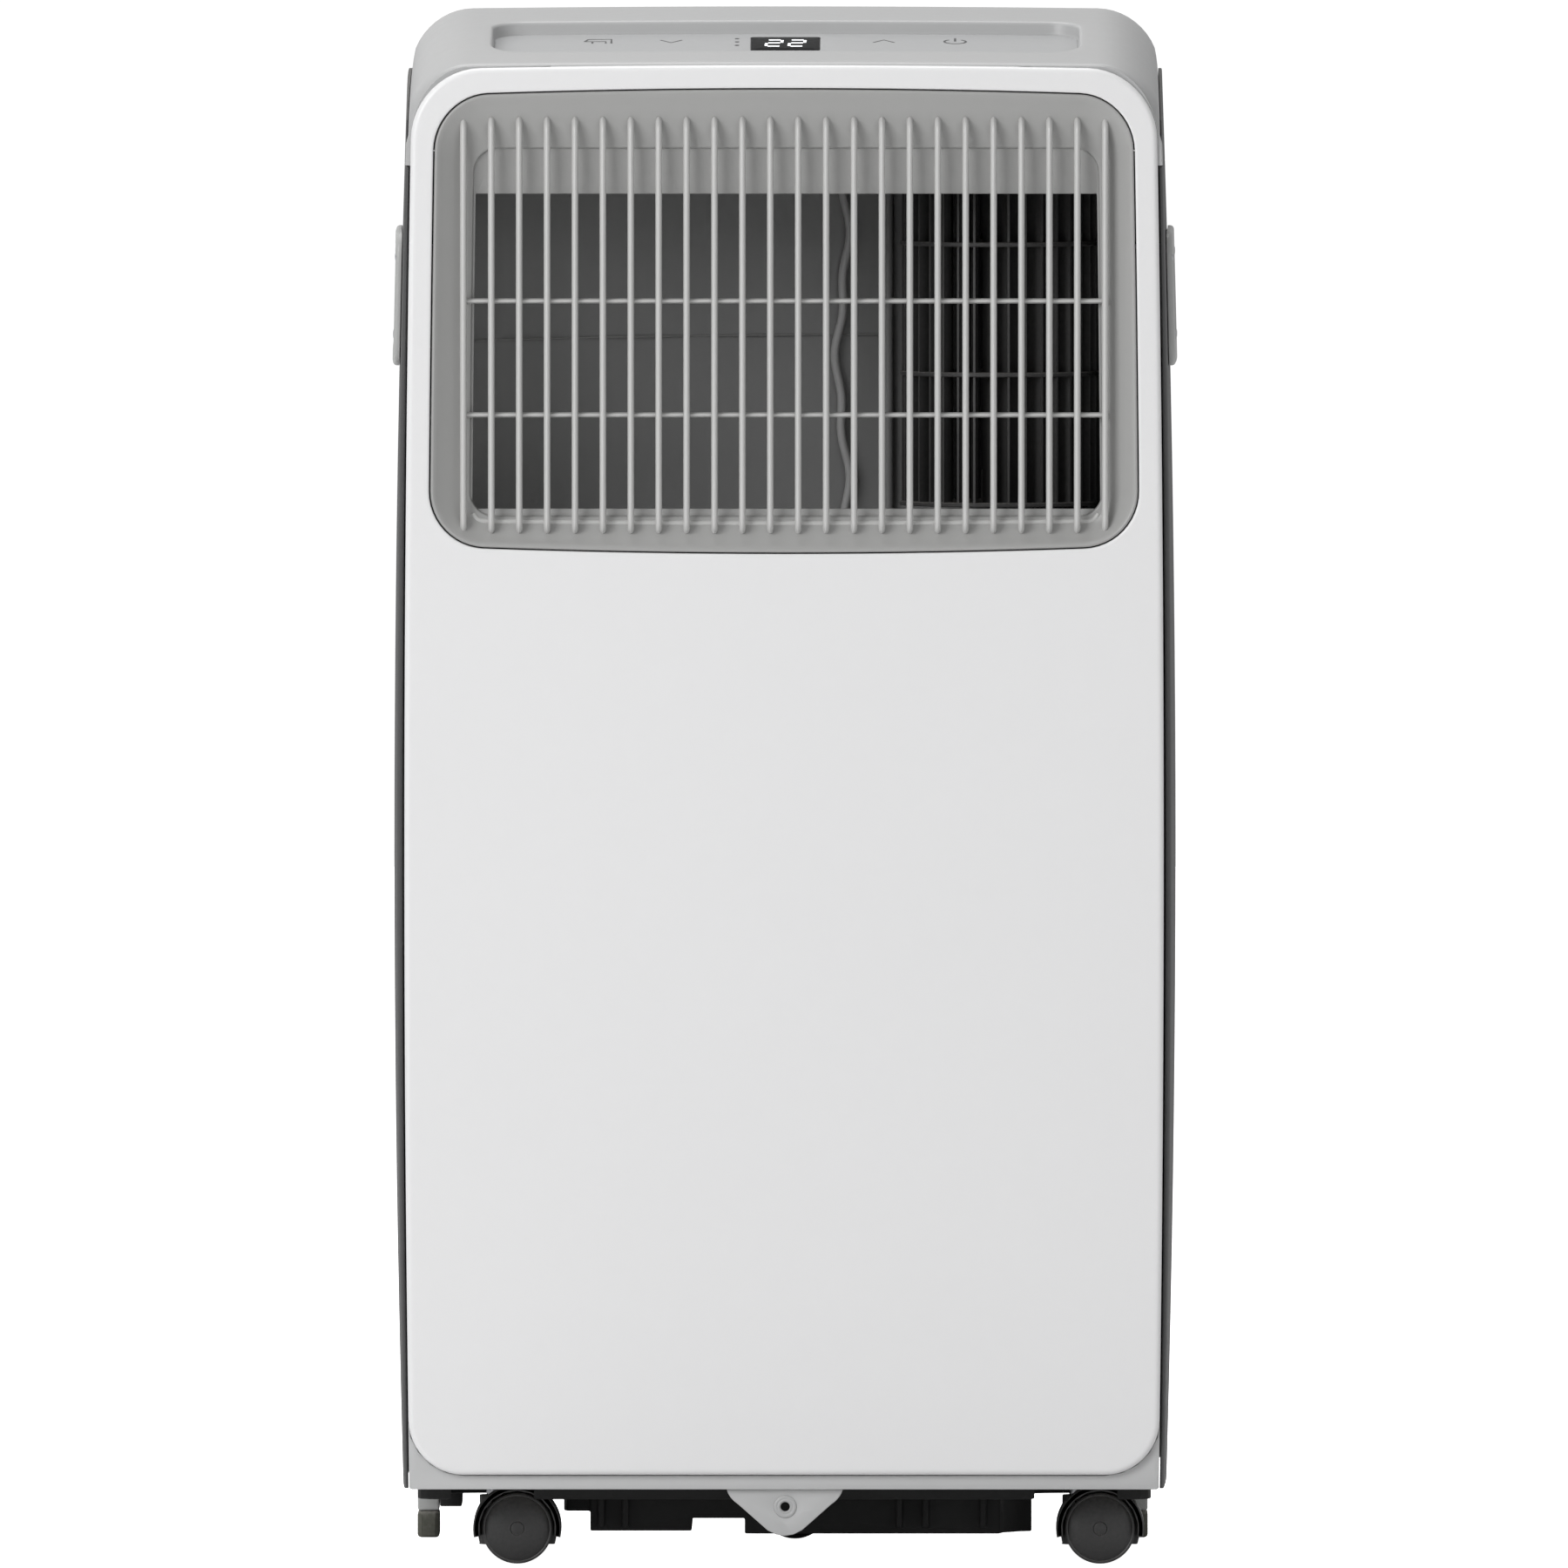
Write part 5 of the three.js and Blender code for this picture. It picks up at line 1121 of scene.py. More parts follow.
band = [((SIDE_HALF - 2.75, -160.0), (-1.0, 0.0)),
        ((SIDE_HALF - 2.5, -159.6), (-1.0, 0.0))] + flank_run(-158.6)
band += [((x, BACK_FACE), (0.0, -1.0)) for x in np.linspace(140, 0, 12)]
band += [((-x, y), (-nx, ny)) for (x, y), (nx, ny) in band[::-1][1:]]
rows = []
for (x, y), (nx, ny) in band:
    thick = WALL - (bulge_at(y) if nx and abs(nx) == 1.0 else 0.0)
    if y < -158.7:
        thick = max(0.25, abs(x) - (SIDE_HALF - WALL))
    inner = (x + nx * thick, y + ny * thick)
    crest = TOP_Z - UPPER_DROP - top_drop(min(y, BACK_FACE))
    soft = min(0.6, thick * 0.4)
    section = [(0.0, SEAM_Z + 0.35 + soft), (0.0, 645.0), (0.0, crest - soft),
               (soft * 0.3, crest - soft * 0.3),
               (soft, crest), (thick, crest - 0.02), (thick, SEAM_Z + 0.35), (soft, SEAM_Z + 0.35),
               (soft * 0.3, SEAM_Z + 0.35 + soft * 0.3)]
    rows.append([(bowed(x + nx * d, z) * MM, (y + ny * d) * MM, z * MM) for d, z in section])
size = len(rows[0])
verts = [p for row in rows for p in row]
faces = [[i * size + k, i * size + (k + 1) % size, (i + 1) * size + (k + 1) % size, (i + 1) * size + k]
         for i in range(len(rows) - 1) for k in range(size)]
faces += [list(range(size)), list(range(len(verts) - size, len(verts)))]
settle(moulded("upper_case", verts, faces, dark_case, 40), "case", ["upper_case"])


# ---- Rear panel ----
# The dark back sheet between both flanks, with the intake windows, the exhaust hole and three small ports.
eased("rear_panel", ["rear_panel"], "case", dark_case, 0.35)


# ---- Carrying handles ----
# A flanged finger cup in satin light grey plastic on each flank, held by two domed screws at each end.
HANDLE_PROUD, POCKET_DEPTH = 3.2, 20.0


def on_flank(x, y, z):
    """A point given beside the flank at its widest, moved to follow the flank's curve."""
    side = flank_at(z)
    spread = (side - panel_at(z)) / (SIDE_HALF - PANEL_HALF)
    return ((x - (SIDE_HALF - side) - bulge_at(y) * spread) * MM, y * MM, z * MM)


def handle_ring(half_length, half_height, radius, x):
    points = rounded_outline(HANDLE_Y - half_length, HANDLE_Y + half_length, HANDLE_Z - half_height,
                             HANDLE_Z + half_height, radius, radius, corner=10, side=(26, 10))
    return [on_flank(x, y, z) for y, z in points]


FACE = SIDE_HALF + HANDLE_PROUD
cup_floor = FACE - POCKET_DEPTH
rings = [handle_ring(64.8, 30.3, 9.8, SIDE_HALF + 0.35), handle_ring(65, 30.5, 10, SIDE_HALF + 0.6)]
rings += [handle_ring(65 - inset, 30.5 - inset, 10 - inset, FACE - 1.7 + rise)
          for inset, rise in [(1.7 - 1.7 * math.cos(t),
                               1.7 * math.sin(t)) for t in np.linspace(0.0, math.pi / 2, 6)]]
rings += [handle_ring(54.6, 24.4, 10.5, FACE + 0.0), handle_ring(53.0, 23.0, 9, FACE - 0.05)]
rings += [handle_ring(50 + 2.6 * (1 - math.sin(t)), 20 + 2.6 * (1 - math.sin(t)), 6 + 2.6 * (1 - math.sin(t)),
                      FACE - 0.05 - 2.6 * (1 - math.cos(t))) for t in np.linspace(0.2, math.pi / 2, 6)]
rings += [handle_ring(50, 20, 6, cup_floor + 3), handle_ring(49.7, 19.7, 5.7, cup_floor + 1.4),
          handle_ring(48.6, 18.6, 4.8, cup_floor + 0.3), handle_ring(46.5, 16.5, 3.4, cup_floor),
          handle_ring(20, 3, 1, cup_floor)]
inner_start = len(rings)
rings += [handle_ring(20, 3, 1, cup_floor - 2.3), handle_ring(50, 20, 4, cup_floor - 2.3),
          handle_ring(52, 22, 6, cup_floor - 0.5), handle_ring(52.4, 22.4, 7.5, SIDE_HALF - 2),
          handle_ring(52.4, 22.4, 7.5, SIDE_HALF + 0.35)]
verts, faces = rings_mesh(rings)
count = len(rings[0])
faces = [f for f in faces if not (f[0] // count == inner_start - 1 or (f[0] // count == inner_start - 1))]
faces.append([(inner_start - 1) * count + k for k in range(count)])
faces.append([inner_start * count + k for k in range(count)])
mirrored_pair("handle_right", "handle_left", verts, faces, handle_grey, "case",
              ("handle_right", "handle_left"), 38)
SCREW_SPOTS = [(-137.6, 592.3), (-128.0, 557.0), (-13.5, 592.3), (-13.5, 554.7)]
for side, sign in (("right", 1), ("left", -1)):
    heads = []
    for y, z in SCREW_SPOTS:
        x, _, _ = on_flank(FACE, y, z)
        head = [(0, -0.9), (1.9, -0.9), (1.9, -0.15), (1.7, 0.1), (1.2, 0.22), (0.55, 0.25), (0.5, -0.05),
                (0, -0.05)]
        heads.append(spin("screw", [(r, sign * a) for r, a in head], (sign * x / MM, y, z), "X", 24,
                          zinc_steel))
    settle(joined(f"handle_screws_{side}", heads), "case", [f"handle_{side}"])


# ---- Top cover ----
# A light grey lid with long rounded shoulders, moulded in one piece with the recess for the touch panel.
COVER_HALF, COVER_CORNER, COVER_TOP, COVER_CROWN = 173.9, 28.4, 701.8, 1.2
COVER_FRONT, COVER_REAR, FRONT_PLAN, REAR_PLAN, FRONT_ROLL, REAR_ROLL = -168.0, 164.2, 9.0, 24.4, 2.2, 9.0
RECESS = (-135.0, 136.5, -146.0, -81.0)
RECESS_RADIUS, RECESS_DEPTH = 14.0, 6.8
SHOULDER_LOW, SKIRT_DROP = 634.3, 42.4
SHOULDER_END = -149.0


def set_in(y, front_radius, rear_radius):
    """How far a rounded front or rear end has drawn in at this depth."""
    for radius, gone in ((front_radius, y - COVER_FRONT), (rear_radius, COVER_REAR - y)):
        if gone < radius:
            return radius - math.sqrt(max(0.0, radius ** 2 - (radius - gone) ** 2))
    return 0.0


def cover_height(x, y):
    """Height of the crowned top of the lid, between the shoulders."""
    middle = COVER_CROWN * (1 - (x / COVER_HALF) ** 2)
    return COVER_TOP + middle - top_drop(y) - set_in(y, FRONT_ROLL, REAR_ROLL)


across = sorted(set(np.linspace(-145.2, 145.2, 73).round(3)))


def cover_section(y, low=None):
    """Front-view outline of the lid at a depth, from its left lower edge over the top to the right."""
    gone = set_in(y, FRONT_PLAN, REAR_PLAN)
    half = COVER_HALF - gone
    radius = max(4.0, COVER_CORNER - gone)
    top = cover_height(0, y) - COVER_CROWN
    if low is None:
        low = SHOULDER_LOW if y < SHOULDER_END else TOP_Z - SKIRT_DROP - top_drop(y)
    right = [(half, low), (half, low + 0.4 * (top - radius - low)), (half, top - radius)]
    right += [(half - radius + radius * math.cos(t), top - radius + radius * math.sin(t))
              for t in np.linspace(0, math.pi / 2, 13)[1:-1]]
    right = [(x, z + COVER_CROWN * (1 - min(1, (x / COVER_HALF) ** 2)) * (z - low) / (top - low))
             for x, z in right]
    squeeze = (half - radius) / 145.5 if half - radius < 145.5 else 1.0
    top_line = [(x * squeeze, cover_height(x * squeeze, y)) for x in across]
    return [(-x, z) for x, z in right] + top_line + right[::-1]


depths = [COVER_FRONT, COVER_FRONT + 0.15, COVER_FRONT + 0.6, COVER_FRONT + 1.3, COVER_FRONT + FRONT_ROLL,
          -163.5, -161.3, -159.0, -156.0, -152.5]
depths += list(np.linspace(SHOULDER_END, -70.0, 23))
depths += list(np.linspace(-66.0, 136.0, 24)) + [COVER_REAR - REAR_PLAN * (1 - math.sin(t))
                                                 for t in np.linspace(0.06, math.pi / 2, 12)]
sections = [cover_section(y) for y in depths]
columns = len(sections[0])
verts = [(bowed(x, z) * MM, y * MM, z * MM) for y, section in zip(depths, sections) for x, z in section]
first_top = columns // 2 - len(across) // 2
win_cols = (first_top, first_top + len(across) - 1)
win_rows = (depths.index(-156.0), [i for i, y in enumerate(depths) if abs(y + 70.0) < 0.01][0])
faces = []
for i in range(len(depths) - 1):
    for k in range(columns - 1):
        if win_rows[0] <= i < win_rows[1] and win_cols[0] <= k < win_cols[1]:
            continue
        faces.append([i * columns + k, i * columns + k + 1, (i + 1) * columns + k + 1, (i + 1) * columns + k])
rear_row = (len(depths) - 1) * columns
rear_low = [(x, TOP_Z - SKIRT_DROP - top_drop(COVER_REAR)) for x, z in sections[-1]]
base = len(verts)
verts += [(bowed(x, z) * MM, COVER_REAR * MM, min(z, zz) * MM) for (x, z), (_, zz) in zip(rear_low,
                                                                                          sections[-1])]
faces += [[rear_row + k, rear_row + k + 1, base + k + 1, base + k] for k in range(columns - 1)
          if verts[rear_row + k][2] - verts[base + k][2] > 1e-6
          or verts[rear_row + k + 1][2] - verts[base + k + 1][2] > 1e-6]

# The rim of the recess meets the window left in the grid, point for point.
border = [(win_rows[0], k) for k in range(win_cols[0], win_cols[1])]
border += [(i, win_cols[1]) for i in range(win_rows[0], win_rows[1])]
border += [(win_rows[1], k) for k in range(win_cols[1], win_cols[0], -1)]
border += [(i, win_cols[0]) for i in range(win_rows[1], win_rows[0], -1)]
border_xy = [(sections[i][k][0], depths[i]) for i, k in border]


def on_rim(x, y, grow):
    """Nearest point of the recess outline, grown or shrunk."""
    left, right, front, back = RECESS
    radius = RECESS_RADIUS
    cx = min(max(x, left + radius), right - radius)
    cy = min(max(y, front + radius), back - radius)
    dx, dy = x - cx, y - cy
    length = math.hypot(dx, dy)
    return cx + dx / length * (radius + grow), cy + dy / length * (radius + grow)


rim_rings = []
for share in (0.34, 0.67):
    rim_rings.append([(x + (on_rim(x, y, 1.6)[0] - x) * share, y + (on_rim(x, y, 1.6)[1] - y) * share, 0.0)
                      for x, y in border_xy])
for grow, depth in [(1.6, 0.0), (1.0, 0.12), (0.5, 0.45), (0.15, 1.0), (0.0, 1.6), (-0.05, 4.6), (-0.3, 5.8),
                    (-0.9, 6.5), (-1.8, RECESS_DEPTH)]:
    rim_rings.append([(*on_rim(x, y, grow), depth) for x, y in border_xy])
start = len(verts)
ring_size = len(border)
previous = [i * columns + k for i, k in border]
for ring in rim_rings:
    here = []
    for x, y, depth in ring:
        here.append(len(verts))
        z = cover_height(x, y) - depth
        verts.append((bowed(x, z) * MM, y * MM, z * MM))
    faces += [[previous[k], previous[(k + 1) % ring_size], here[(k + 1) % ring_size], here[k]]
              for k in range(ring_size)]
    previous = here
left, right, front, back = RECESS
for share in (0.25, 0.5, 0.75, 0.95):
    here = []
    for x, y, _ in rim_rings[-1]:
        mid_y = (front + back) / 2
        tx = min(max(x, left + 34), right - 34)
        px, py = x + (tx - x) * share, y + (mid_y - y) * share
        here.append(len(verts))
        z = cover_height(px, py) - RECESS_DEPTH
        verts.append((bowed(px, z) * MM, py * MM, z * MM))
    faces += [[previous[k], previous[(k + 1) % ring_size], here[(k + 1) % ring_size], here[k]]
              for k in range(ring_size)]
    previous = here
faces.append(previous)

# The front face runs in to the white panel's outline and turns back there.
seat = panel_outline(0.5)
front_outline = sections[0]
seat_top = [(x, z) for x, z in seat if z > SHOULDER_LOW]
seat_line = sorted([(x, z) for x, z in seat_top if x < 0], key=lambda p: math.atan2(p[1] - 500, p[0]),
                   reverse=True)
seat_line += sorted([(x, z) for x, z in seat_top if x >= 0], key=lambda p: math.atan2(p[1] - 500, p[0]),
                    reverse=True)
seat_line = [(seat_line[0][0], SHOULDER_LOW)] + seat_line + [(seat_line[-1][0], SHOULDER_LOW)]
seat_angle = np.array([math.atan2(z - 500, x) for x, z in seat_line])


def seat_point(x, z):
    """Point of the panel seat on the same ray from the middle of the front."""
    turn = math.atan2(z - 500, x)
    order = np.argsort(seat_angle)
    px = np.interp(turn, seat_angle[order], np.array([p[0] for p in seat_line])[order])
    pz = np.interp(turn, seat_angle[order], np.array([p[1] for p in seat_line])[order])
    return float(px), float(pz)


seat_on = [seat_point(x, z) for x, z in front_outline]
previous = list(range(columns))
for depth in (COVER_FRONT, COVER_FRONT + 8, COVER_FRONT + 19):
    here = []
    for (x, z), (sx, sz) in zip(front_outline, seat_on):
        here.append(len(verts))
        verts.append((bowed(sx, sz) * MM, depth * MM, min(sz, z - 0.01) * MM))
    faces += [[previous[k], previous[k + 1], here[k + 1], here[k]] for k in range(columns - 1)]
    previous = here
cover = moulded("top_cover", verts, faces, light_grey, 40)
skin = cover.modifiers.new("wall", "SOLIDIFY")
skin.thickness, skin.offset = 2.2 * MM, -1
skin.use_rim = True
settle(evaluated(cover, light_grey, 40), "case", ["top_cover"])


# ---- Touch panel ----
# A printed film on the floor of the recess, a dark display window with two digits behind it, three small
# lamps beside it and four key symbols.
film_grey = finish_of("control_film", (0.4, 0.405, 0.41), 0.3, worn=0.0, dusty=0.05, grain_depth=0.000008,
                      spread=0.01)
display_black = finish_of("display_black", (0.003, 0.003, 0.0035), 0.25, worn=0.0, dusty=0.0, specular=0.02,
                          grain_depth=0.000002, mottle=0.02, spread=0.02)
FILM_TOP, FILM_THICK = RECESS_DEPTH - 0.9, 0.6
DISPLAY = (-15.5, 16.3, -122.0, -91.0)


def film_point(x, y, depth):
    z = cover_height(x, y) - depth
    return (bowed(x, z) * MM, y * MM, z * MM)


def film_outline(grow):
    left, right, front, back = RECESS
    return rounded_outline(left - grow, right + grow, front - grow, back + grow, RECESS_RADIUS + grow,
                           RECESS_RADIUS + grow, corner=8, side=(16, 60))


def display_outline(grow):
    left, right, front, back = DISPLAY
    return rounded_outline(left - grow, right + grow, front - grow, back + grow, 1.0 + grow, 1.0 + grow,
                           corner=8, side=(16, 60))


outer, inner = film_outline(-0.9), display_outline(0.3)
layers = [(0.0, FILM_TOP + FILM_THICK), (0.0, FILM_TOP + 0.1), (0.004, FILM_TOP)]
layers += [(share, FILM_TOP) for share in np.linspace(0.08, 0.994, 12)] + [(1.0, FILM_TOP + 0.1),
                                                                         (1.0, FILM_TOP + FILM_THICK)]
film = [[film_point(x, y, depth) for x, y in between(outer, inner, share)] for share, depth in layers]
settle(moulded("control_film", *rings_mesh(film), film_grey, 40), "case", ["control_film"])

glass = [[film_point(x, y, depth) for x, y in display_outline(grow)] for grow, depth in
         [(0.0, FILM_TOP + FILM_THICK), (0.0, FILM_TOP - 0.0), (-0.25, FILM_TOP - 0.08)]]
glass += [[film_point(x + (0.4 - x) * share, y + (-106.5 - y) * share, FILM_TOP - 0.08)
           for x, y in display_outline(-0.25)] for share in (0.3, 0.6, 0.9, 0.99)]
verts, faces = rings_mesh(glass, close=False)
count = len(glass[0])
faces += [list(range(count)), list(range(len(verts) - count, len(verts)))]
settle(moulded("display_window", verts, faces, display_black, 40), "case", ["display_window"])

digit_white = bpy.data.materials.new("digit_white")
digit_white.use_nodes = True
digit_tree = digit_white.node_tree
digit_shader = digit_tree.nodes["Principled BSDF"]
lamp = placed(digit_tree, drift, Colour=(0.95, 0.97, 1.0, 1), Spread=0.03, Patch=400.0)
digit_tree.links.new(lamp.outputs["Colour"], digit_shader.inputs["Base Color"])
digit_tree.links.new(lamp.outputs["Colour"], digit_shader.inputs["Emission Color"])
digit_shader.inputs["Emission Strength"].default_value = 0.9
digit_shader.inputs["Roughness"].default_value = 0.4
print_grey = finish_of("key_print", (0.06, 0.061, 0.062), 0.4, worn=0.0, dusty=0.03, grain_depth=0.000004)


def printed(name, strokes, width, depth, material, thick=0.1):
    """Strokes of one width laid on the curved film: each is a list of plan points, closed or open."""
    verts, faces = [], []
    for stroke in strokes:
        closed = stroke[0] == stroke[-1] and len(stroke) > 2
        points = stroke[:-1] if closed else stroke
        n = len(points)
        rows = []
        for k, (x, y) in enumerate(points):
            ax, ay = points[(k - 1) % n] if closed or k else points[k]
            bx, by = points[(k + 1) % n] if closed or k < n - 1 else points[k]
            length = math.hypot(bx - ax, by - ay)
            nx, ny = -(by - ay) / length * width / 2, (bx - ax) / length * width / 2
            rows.append([film_point(x + s * nx, y + s * ny, d)
                         for s, d in ((-1, depth), (1, depth), (1, depth - thick), (-1, depth - thick))])
        start = len(verts)
        verts += [p for row in rows for p in row]
        for k in range(n if closed else n - 1):
            a, b = start + 4 * k, start + 4 * ((k + 1) % n)
            faces += [[a + c, a + (c + 1) % 4, b + (c + 1) % 4, b + c] for c in range(4)]
        if not closed:
            faces += [[start + c for c in range(4)], [start + 4 * (n - 1) + c for c in range(4)]]
    piece = moulded(name, verts, faces, material)
    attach(piece, "case")
    return piece


DIGIT_WIDTH, DIGIT_HEIGHT, SLOPE = 7.0, 14.4, 0.04


def segments(left, low):
    """The five lit bars of a seven-bar figure two."""
    right, mid, high, gap = left + DIGIT_WIDTH, low + DIGIT_HEIGHT / 2, low + DIGIT_HEIGHT, 0.75
    lean = lambda x, y: (x + SLOPE * (y - low), y)
    return [[lean(left + gap, high), lean(right - gap, high)],
            [lean(right, high - gap), lean(right, mid + gap)],
            [lean(left + gap, mid), lean(right - gap, mid)], [lean(left, mid - gap), lean(left, low + gap)],
            [lean(left + gap, low), lean(right - gap, low)]]


lit = segments(-8.6, -113.6) + segments(2.0, -113.6)
across_bars, upright_bars = [s for s in lit if s[0][1] == s[1][1]], [s for s in lit if s[0][1] != s[1][1]]
printed("display_digit_bars", across_bars, 1.9, FILM_TOP - 0.1, digit_white, 0.06)
printed("display_digit_posts", upright_bars, 1.3, FILM_TOP - 0.1, digit_white, 0.06)
ring = lambda cx, cy, radius, start, end: arc(cx, cy, radius, start, end, 20)
lamps = [ring(-22.0, y, 0.55, 0, 360) for y in (-95.5, -103.5, -111.5)]
for stroke in lamps:
    stroke[-1] = stroke[0]
printed("status_lamps", lamps, 1.0, FILM_TOP - 0.02, print_grey)
keys = [[(-57.4, -98.6), (-52.5, -104.8), (-47.6, -98.6)], [(41.2, -104.4), (46.0, -98.2), (50.8, -104.4)]]
keys += [arc(79.0, -101.6, 5.0, 125, 415, 24), [(79.0, -93.4), (79.0, -101.0)]]
keys += [[(-90.9, -95.8), (-80.2, -95.8), (-80.2, -105.6)], [(-90.9, -95.8), (-92.6, -101.4)],
         [(-92.6, -101.2), (-82.8, -101.2), (-82.8, -105.8)], [(-89.0, -101.4), (-89.0, -105.8)]]
printed("key_symbols", keys, 1.0, FILM_TOP - 0.02, print_grey, 0.06)
board_green = finish_of("circuit_board", (0.012, 0.05, 0.02), 0.45, grain_scale=1200.0, worn=0.1, dusty=0.2,
                        spread=0.2, patch=60.0)
eased("control_board", ["control_board"], "case", board_green, 0.3)


# ---- Rear intakes ----
# Two louvred grilles in dark plastic that pull straight out with their dust filters: a fine woven mesh
# held in a ribbed frame behind each grille.
def rounded_frame(name, outer, inner, front, back, roll, radius, material):
    """A flat oblong ring in the rear view, with rolled edges on its outer face."""
    left, right, low, high = outer
    i_left, i_right, i_low, i_high = inner
    make = lambda grow, y: [(x * MM, y * MM, z * MM) for x, z in rounded_outline(
        left - grow, right + grow, low - grow, high + grow, radius + grow, radius + grow, 8, (4, 4))]
    hole = lambda grow, y: [(x * MM, y * MM, z * MM) for x, z in rounded_outline(
        i_left + grow, i_right - grow, i_low + grow, i_high - grow, 1.5, 1.5, 8, (4, 4))]
    rings = [make(0, front), make(0, back - roll)]
    rings += [make(-roll * (1 - math.cos(t)), back - roll + roll * math.sin(t))
              for t in np.linspace(0.3, math.pi / 2, 5)]
    rings += [hole(-0.8, back), hole(-0.25, back - 0.2), hole(0, back - 0.8), hole(0, front)]
    return moulded(name, *rings_mesh(rings), material, 38)


filter_wire = finish_of("filter_mesh", (0.06, 0.066, 0.07), 0.7, worn=0.0, dusty=0.9, grain_depth=0.00001)
intake_case = finish_of("intake_grille_dark", (0.045, 0.0455, 0.047), 0.48, worn=0.35, dusty=0.3,
                        worn_colour=(0.085, 0.086, 0.088))
MESH_PITCH, WIRE_RADIUS = 2.2, 0.16
for level in ("upper", "lower"):
    low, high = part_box(f"intake_grille_{level}")
    x0, x1, z0, z1 = low.x / MM, high.x / MM, low.z / MM, high.z / MM
    face_y, flange_y = high.y / MM, 168.35
    hole = (x0 + 13, x1 - 13, z0 + 13, z1 - 13)
    frame_ring = rounded_frame("flange", (x0, x1, z0, z1), hole, flange_y, face_y, 1.6, 5, intake_case)
    plug_ring = rounded_frame("plug", (x0 + 5.35, x1 - 5.35, z0 + 5.35, z1 - 5.35), hole, 159.2,
                              flange_y + 0.5, 0.3, 1, intake_case)
    rows = round((z1 - z0 - 26) / 11)
    pitch = (z1 - z0 - 26) / rows
    first = z0 + 13
    slat = [(face_y - 0.9, first + 0.9), (face_y - 0.6, first + 0.2), (face_y - 1.0, first - 0.7),
            (face_y - 2.4, first - 1.3), (164, first + 0.4), (160.2, first + 3.6), (159.7, first + 4.4),
            (160.4, first + 4.6), (165, first + 2.2), (face_y - 2.2, first + 0.9)]
    slats = laid_out("slats", ROW_OF, prism_mesh(slat, hole[0] - 1, hole[1] + 1, "X"), intake_case,
                     Count=rows, Step=(0, 0, pitch * MM))
    stile = [(-1.4, 160.0), (1.4, 160.0), (1.4, face_y - 3.2), (0.8, face_y - 2.6), (-0.8, face_y - 2.6),
             (-1.4, face_y - 3.2)]
    stiles = laid_out("stiles", ROW_OF,
                      prism_mesh([(x0 + 60 + a, b) for a, b in stile], hole[2] - 1, hole[3] + 1, "Z"),
                      intake_case, Count=3, Step=((x1 - x0 - 120) / 2 * MM, 0, 0))
    pull = rounded_frame("pull", ((x0 + x1) / 2 - 22, (x0 + x1) / 2 + 22, z1 - 11.2, z1 - 2.6),
                         ((x0 + x1) / 2 - 20.4, (x0 + x1) / 2 + 20.4, z1 - 9.6, z1 - 4.2), face_y - 0.6,
                         face_y + 0.9, 0.5, 3, intake_case)
    body = f"intake_cassette_{level}"
    settle(joined(f"intake_grille_{level}", [frame_ring, plug_ring, slats, stiles, pull]), body,
           [f"intake_grille_{level}"])
    eased(f"filter_frame_{level}", [f"filter_{level}"], body, black_moulding, 0.3, 1)
    low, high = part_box(f"filter_{level}")
    x0, x1, z0, z1 = low.x / MM + 4, high.x / MM - 4, low.z / MM + 5, high.z / MM - 5
    wire = [(WIRE_RADIUS * math.cos(t), WIRE_RADIUS * math.sin(t)) for t in np.linspace(0, 2 * math.pi,
                                                                                        5)[:-1]]
    weave = []
    for name, count, length, make in (
            ("warp", int((x1 - x0) / MESH_PITCH), x1 - x0,
             prism_mesh([(x0 + a, 156.2 + b) for a, b in wire], z0, z1, "Z")),
            ("weft", int((z1 - z0) / MESH_PITCH), z1 - z0,
             prism_mesh([(156.5 + a, z0 + b) for a, b in wire], x0, x1, "X"))):
        step = length / count * MM
        weave.append(laid_out(name, ROW_OF, make, filter_wire, Count=count,
                              Step=(step, 0, 0) if name == "warp" else (0, 0, step)))
    settle(joined(f"filter_mesh_{level}", weave), body, [f"filter_{level}"])


# ---- Exhaust collar ----
# The round socket for the exhaust hose: a flanged tube with three bayonet notches and a safety grille of
# crossed bars some way in.
low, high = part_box("exhaust_collar")
PORT = ((low.x + high.x) / 2 / MM, 0.0, (low.z + high.z) / 2 / MM)
BORE, TUBE, FLANGE, MOUTH = 62.0, 66.6, 80.0, 172.5
collar_profile = [(BORE + 0.6, 122), (TUBE - 0.6, 122), (TUBE, 122.6), (TUBE, 168.35), (FLANGE - 0.4, 168.35),
                  (FLANGE, 168.8), (FLANGE, MOUTH - 1.4), (FLANGE - 0.4, MOUTH - 0.4), (FLANGE - 1.4, MOUTH),
                  (BORE + 6.4, MOUTH), (BORE + 5.6, MOUTH - 0.5), (BORE + 5.2, MOUTH - 1.2),
                  (BORE + 4.4, MOUTH - 1.2),
                  (BORE + 4.0, MOUTH - 0.5), (BORE + 3.2, MOUTH), (BORE + 1.2, MOUTH),
                  (BORE + 0.3, MOUTH - 0.4), (BORE, MOUTH - 1.2), (BORE, 122.6), (BORE + 0.6, 122)]
NOTCH_HALF, NOTCH_DEEP, NOTCH_LONG = math.radians(6.6), 2.4, 9.0
turns = np.linspace(0, 2 * math.pi, 181)[:-1]
verts, faces = [], []
for turn in turns:
    near = min(abs((turn - (k * 2 * math.pi / 3 + math.pi / 2) + math.pi) % (2 * math.pi) - math.pi)
               for k in range(3))
    for number, (r, y) in enumerate(collar_profile):
        if near < NOTCH_HALF and r < BORE + NOTCH_DEEP and y > MOUTH - NOTCH_LONG:
            r = BORE + NOTCH_DEEP
        verts.append(((PORT[0] + r * math.cos(turn)) * MM, y * MM, (PORT[2] + r * math.sin(turn)) * MM))
size = len(collar_profile)
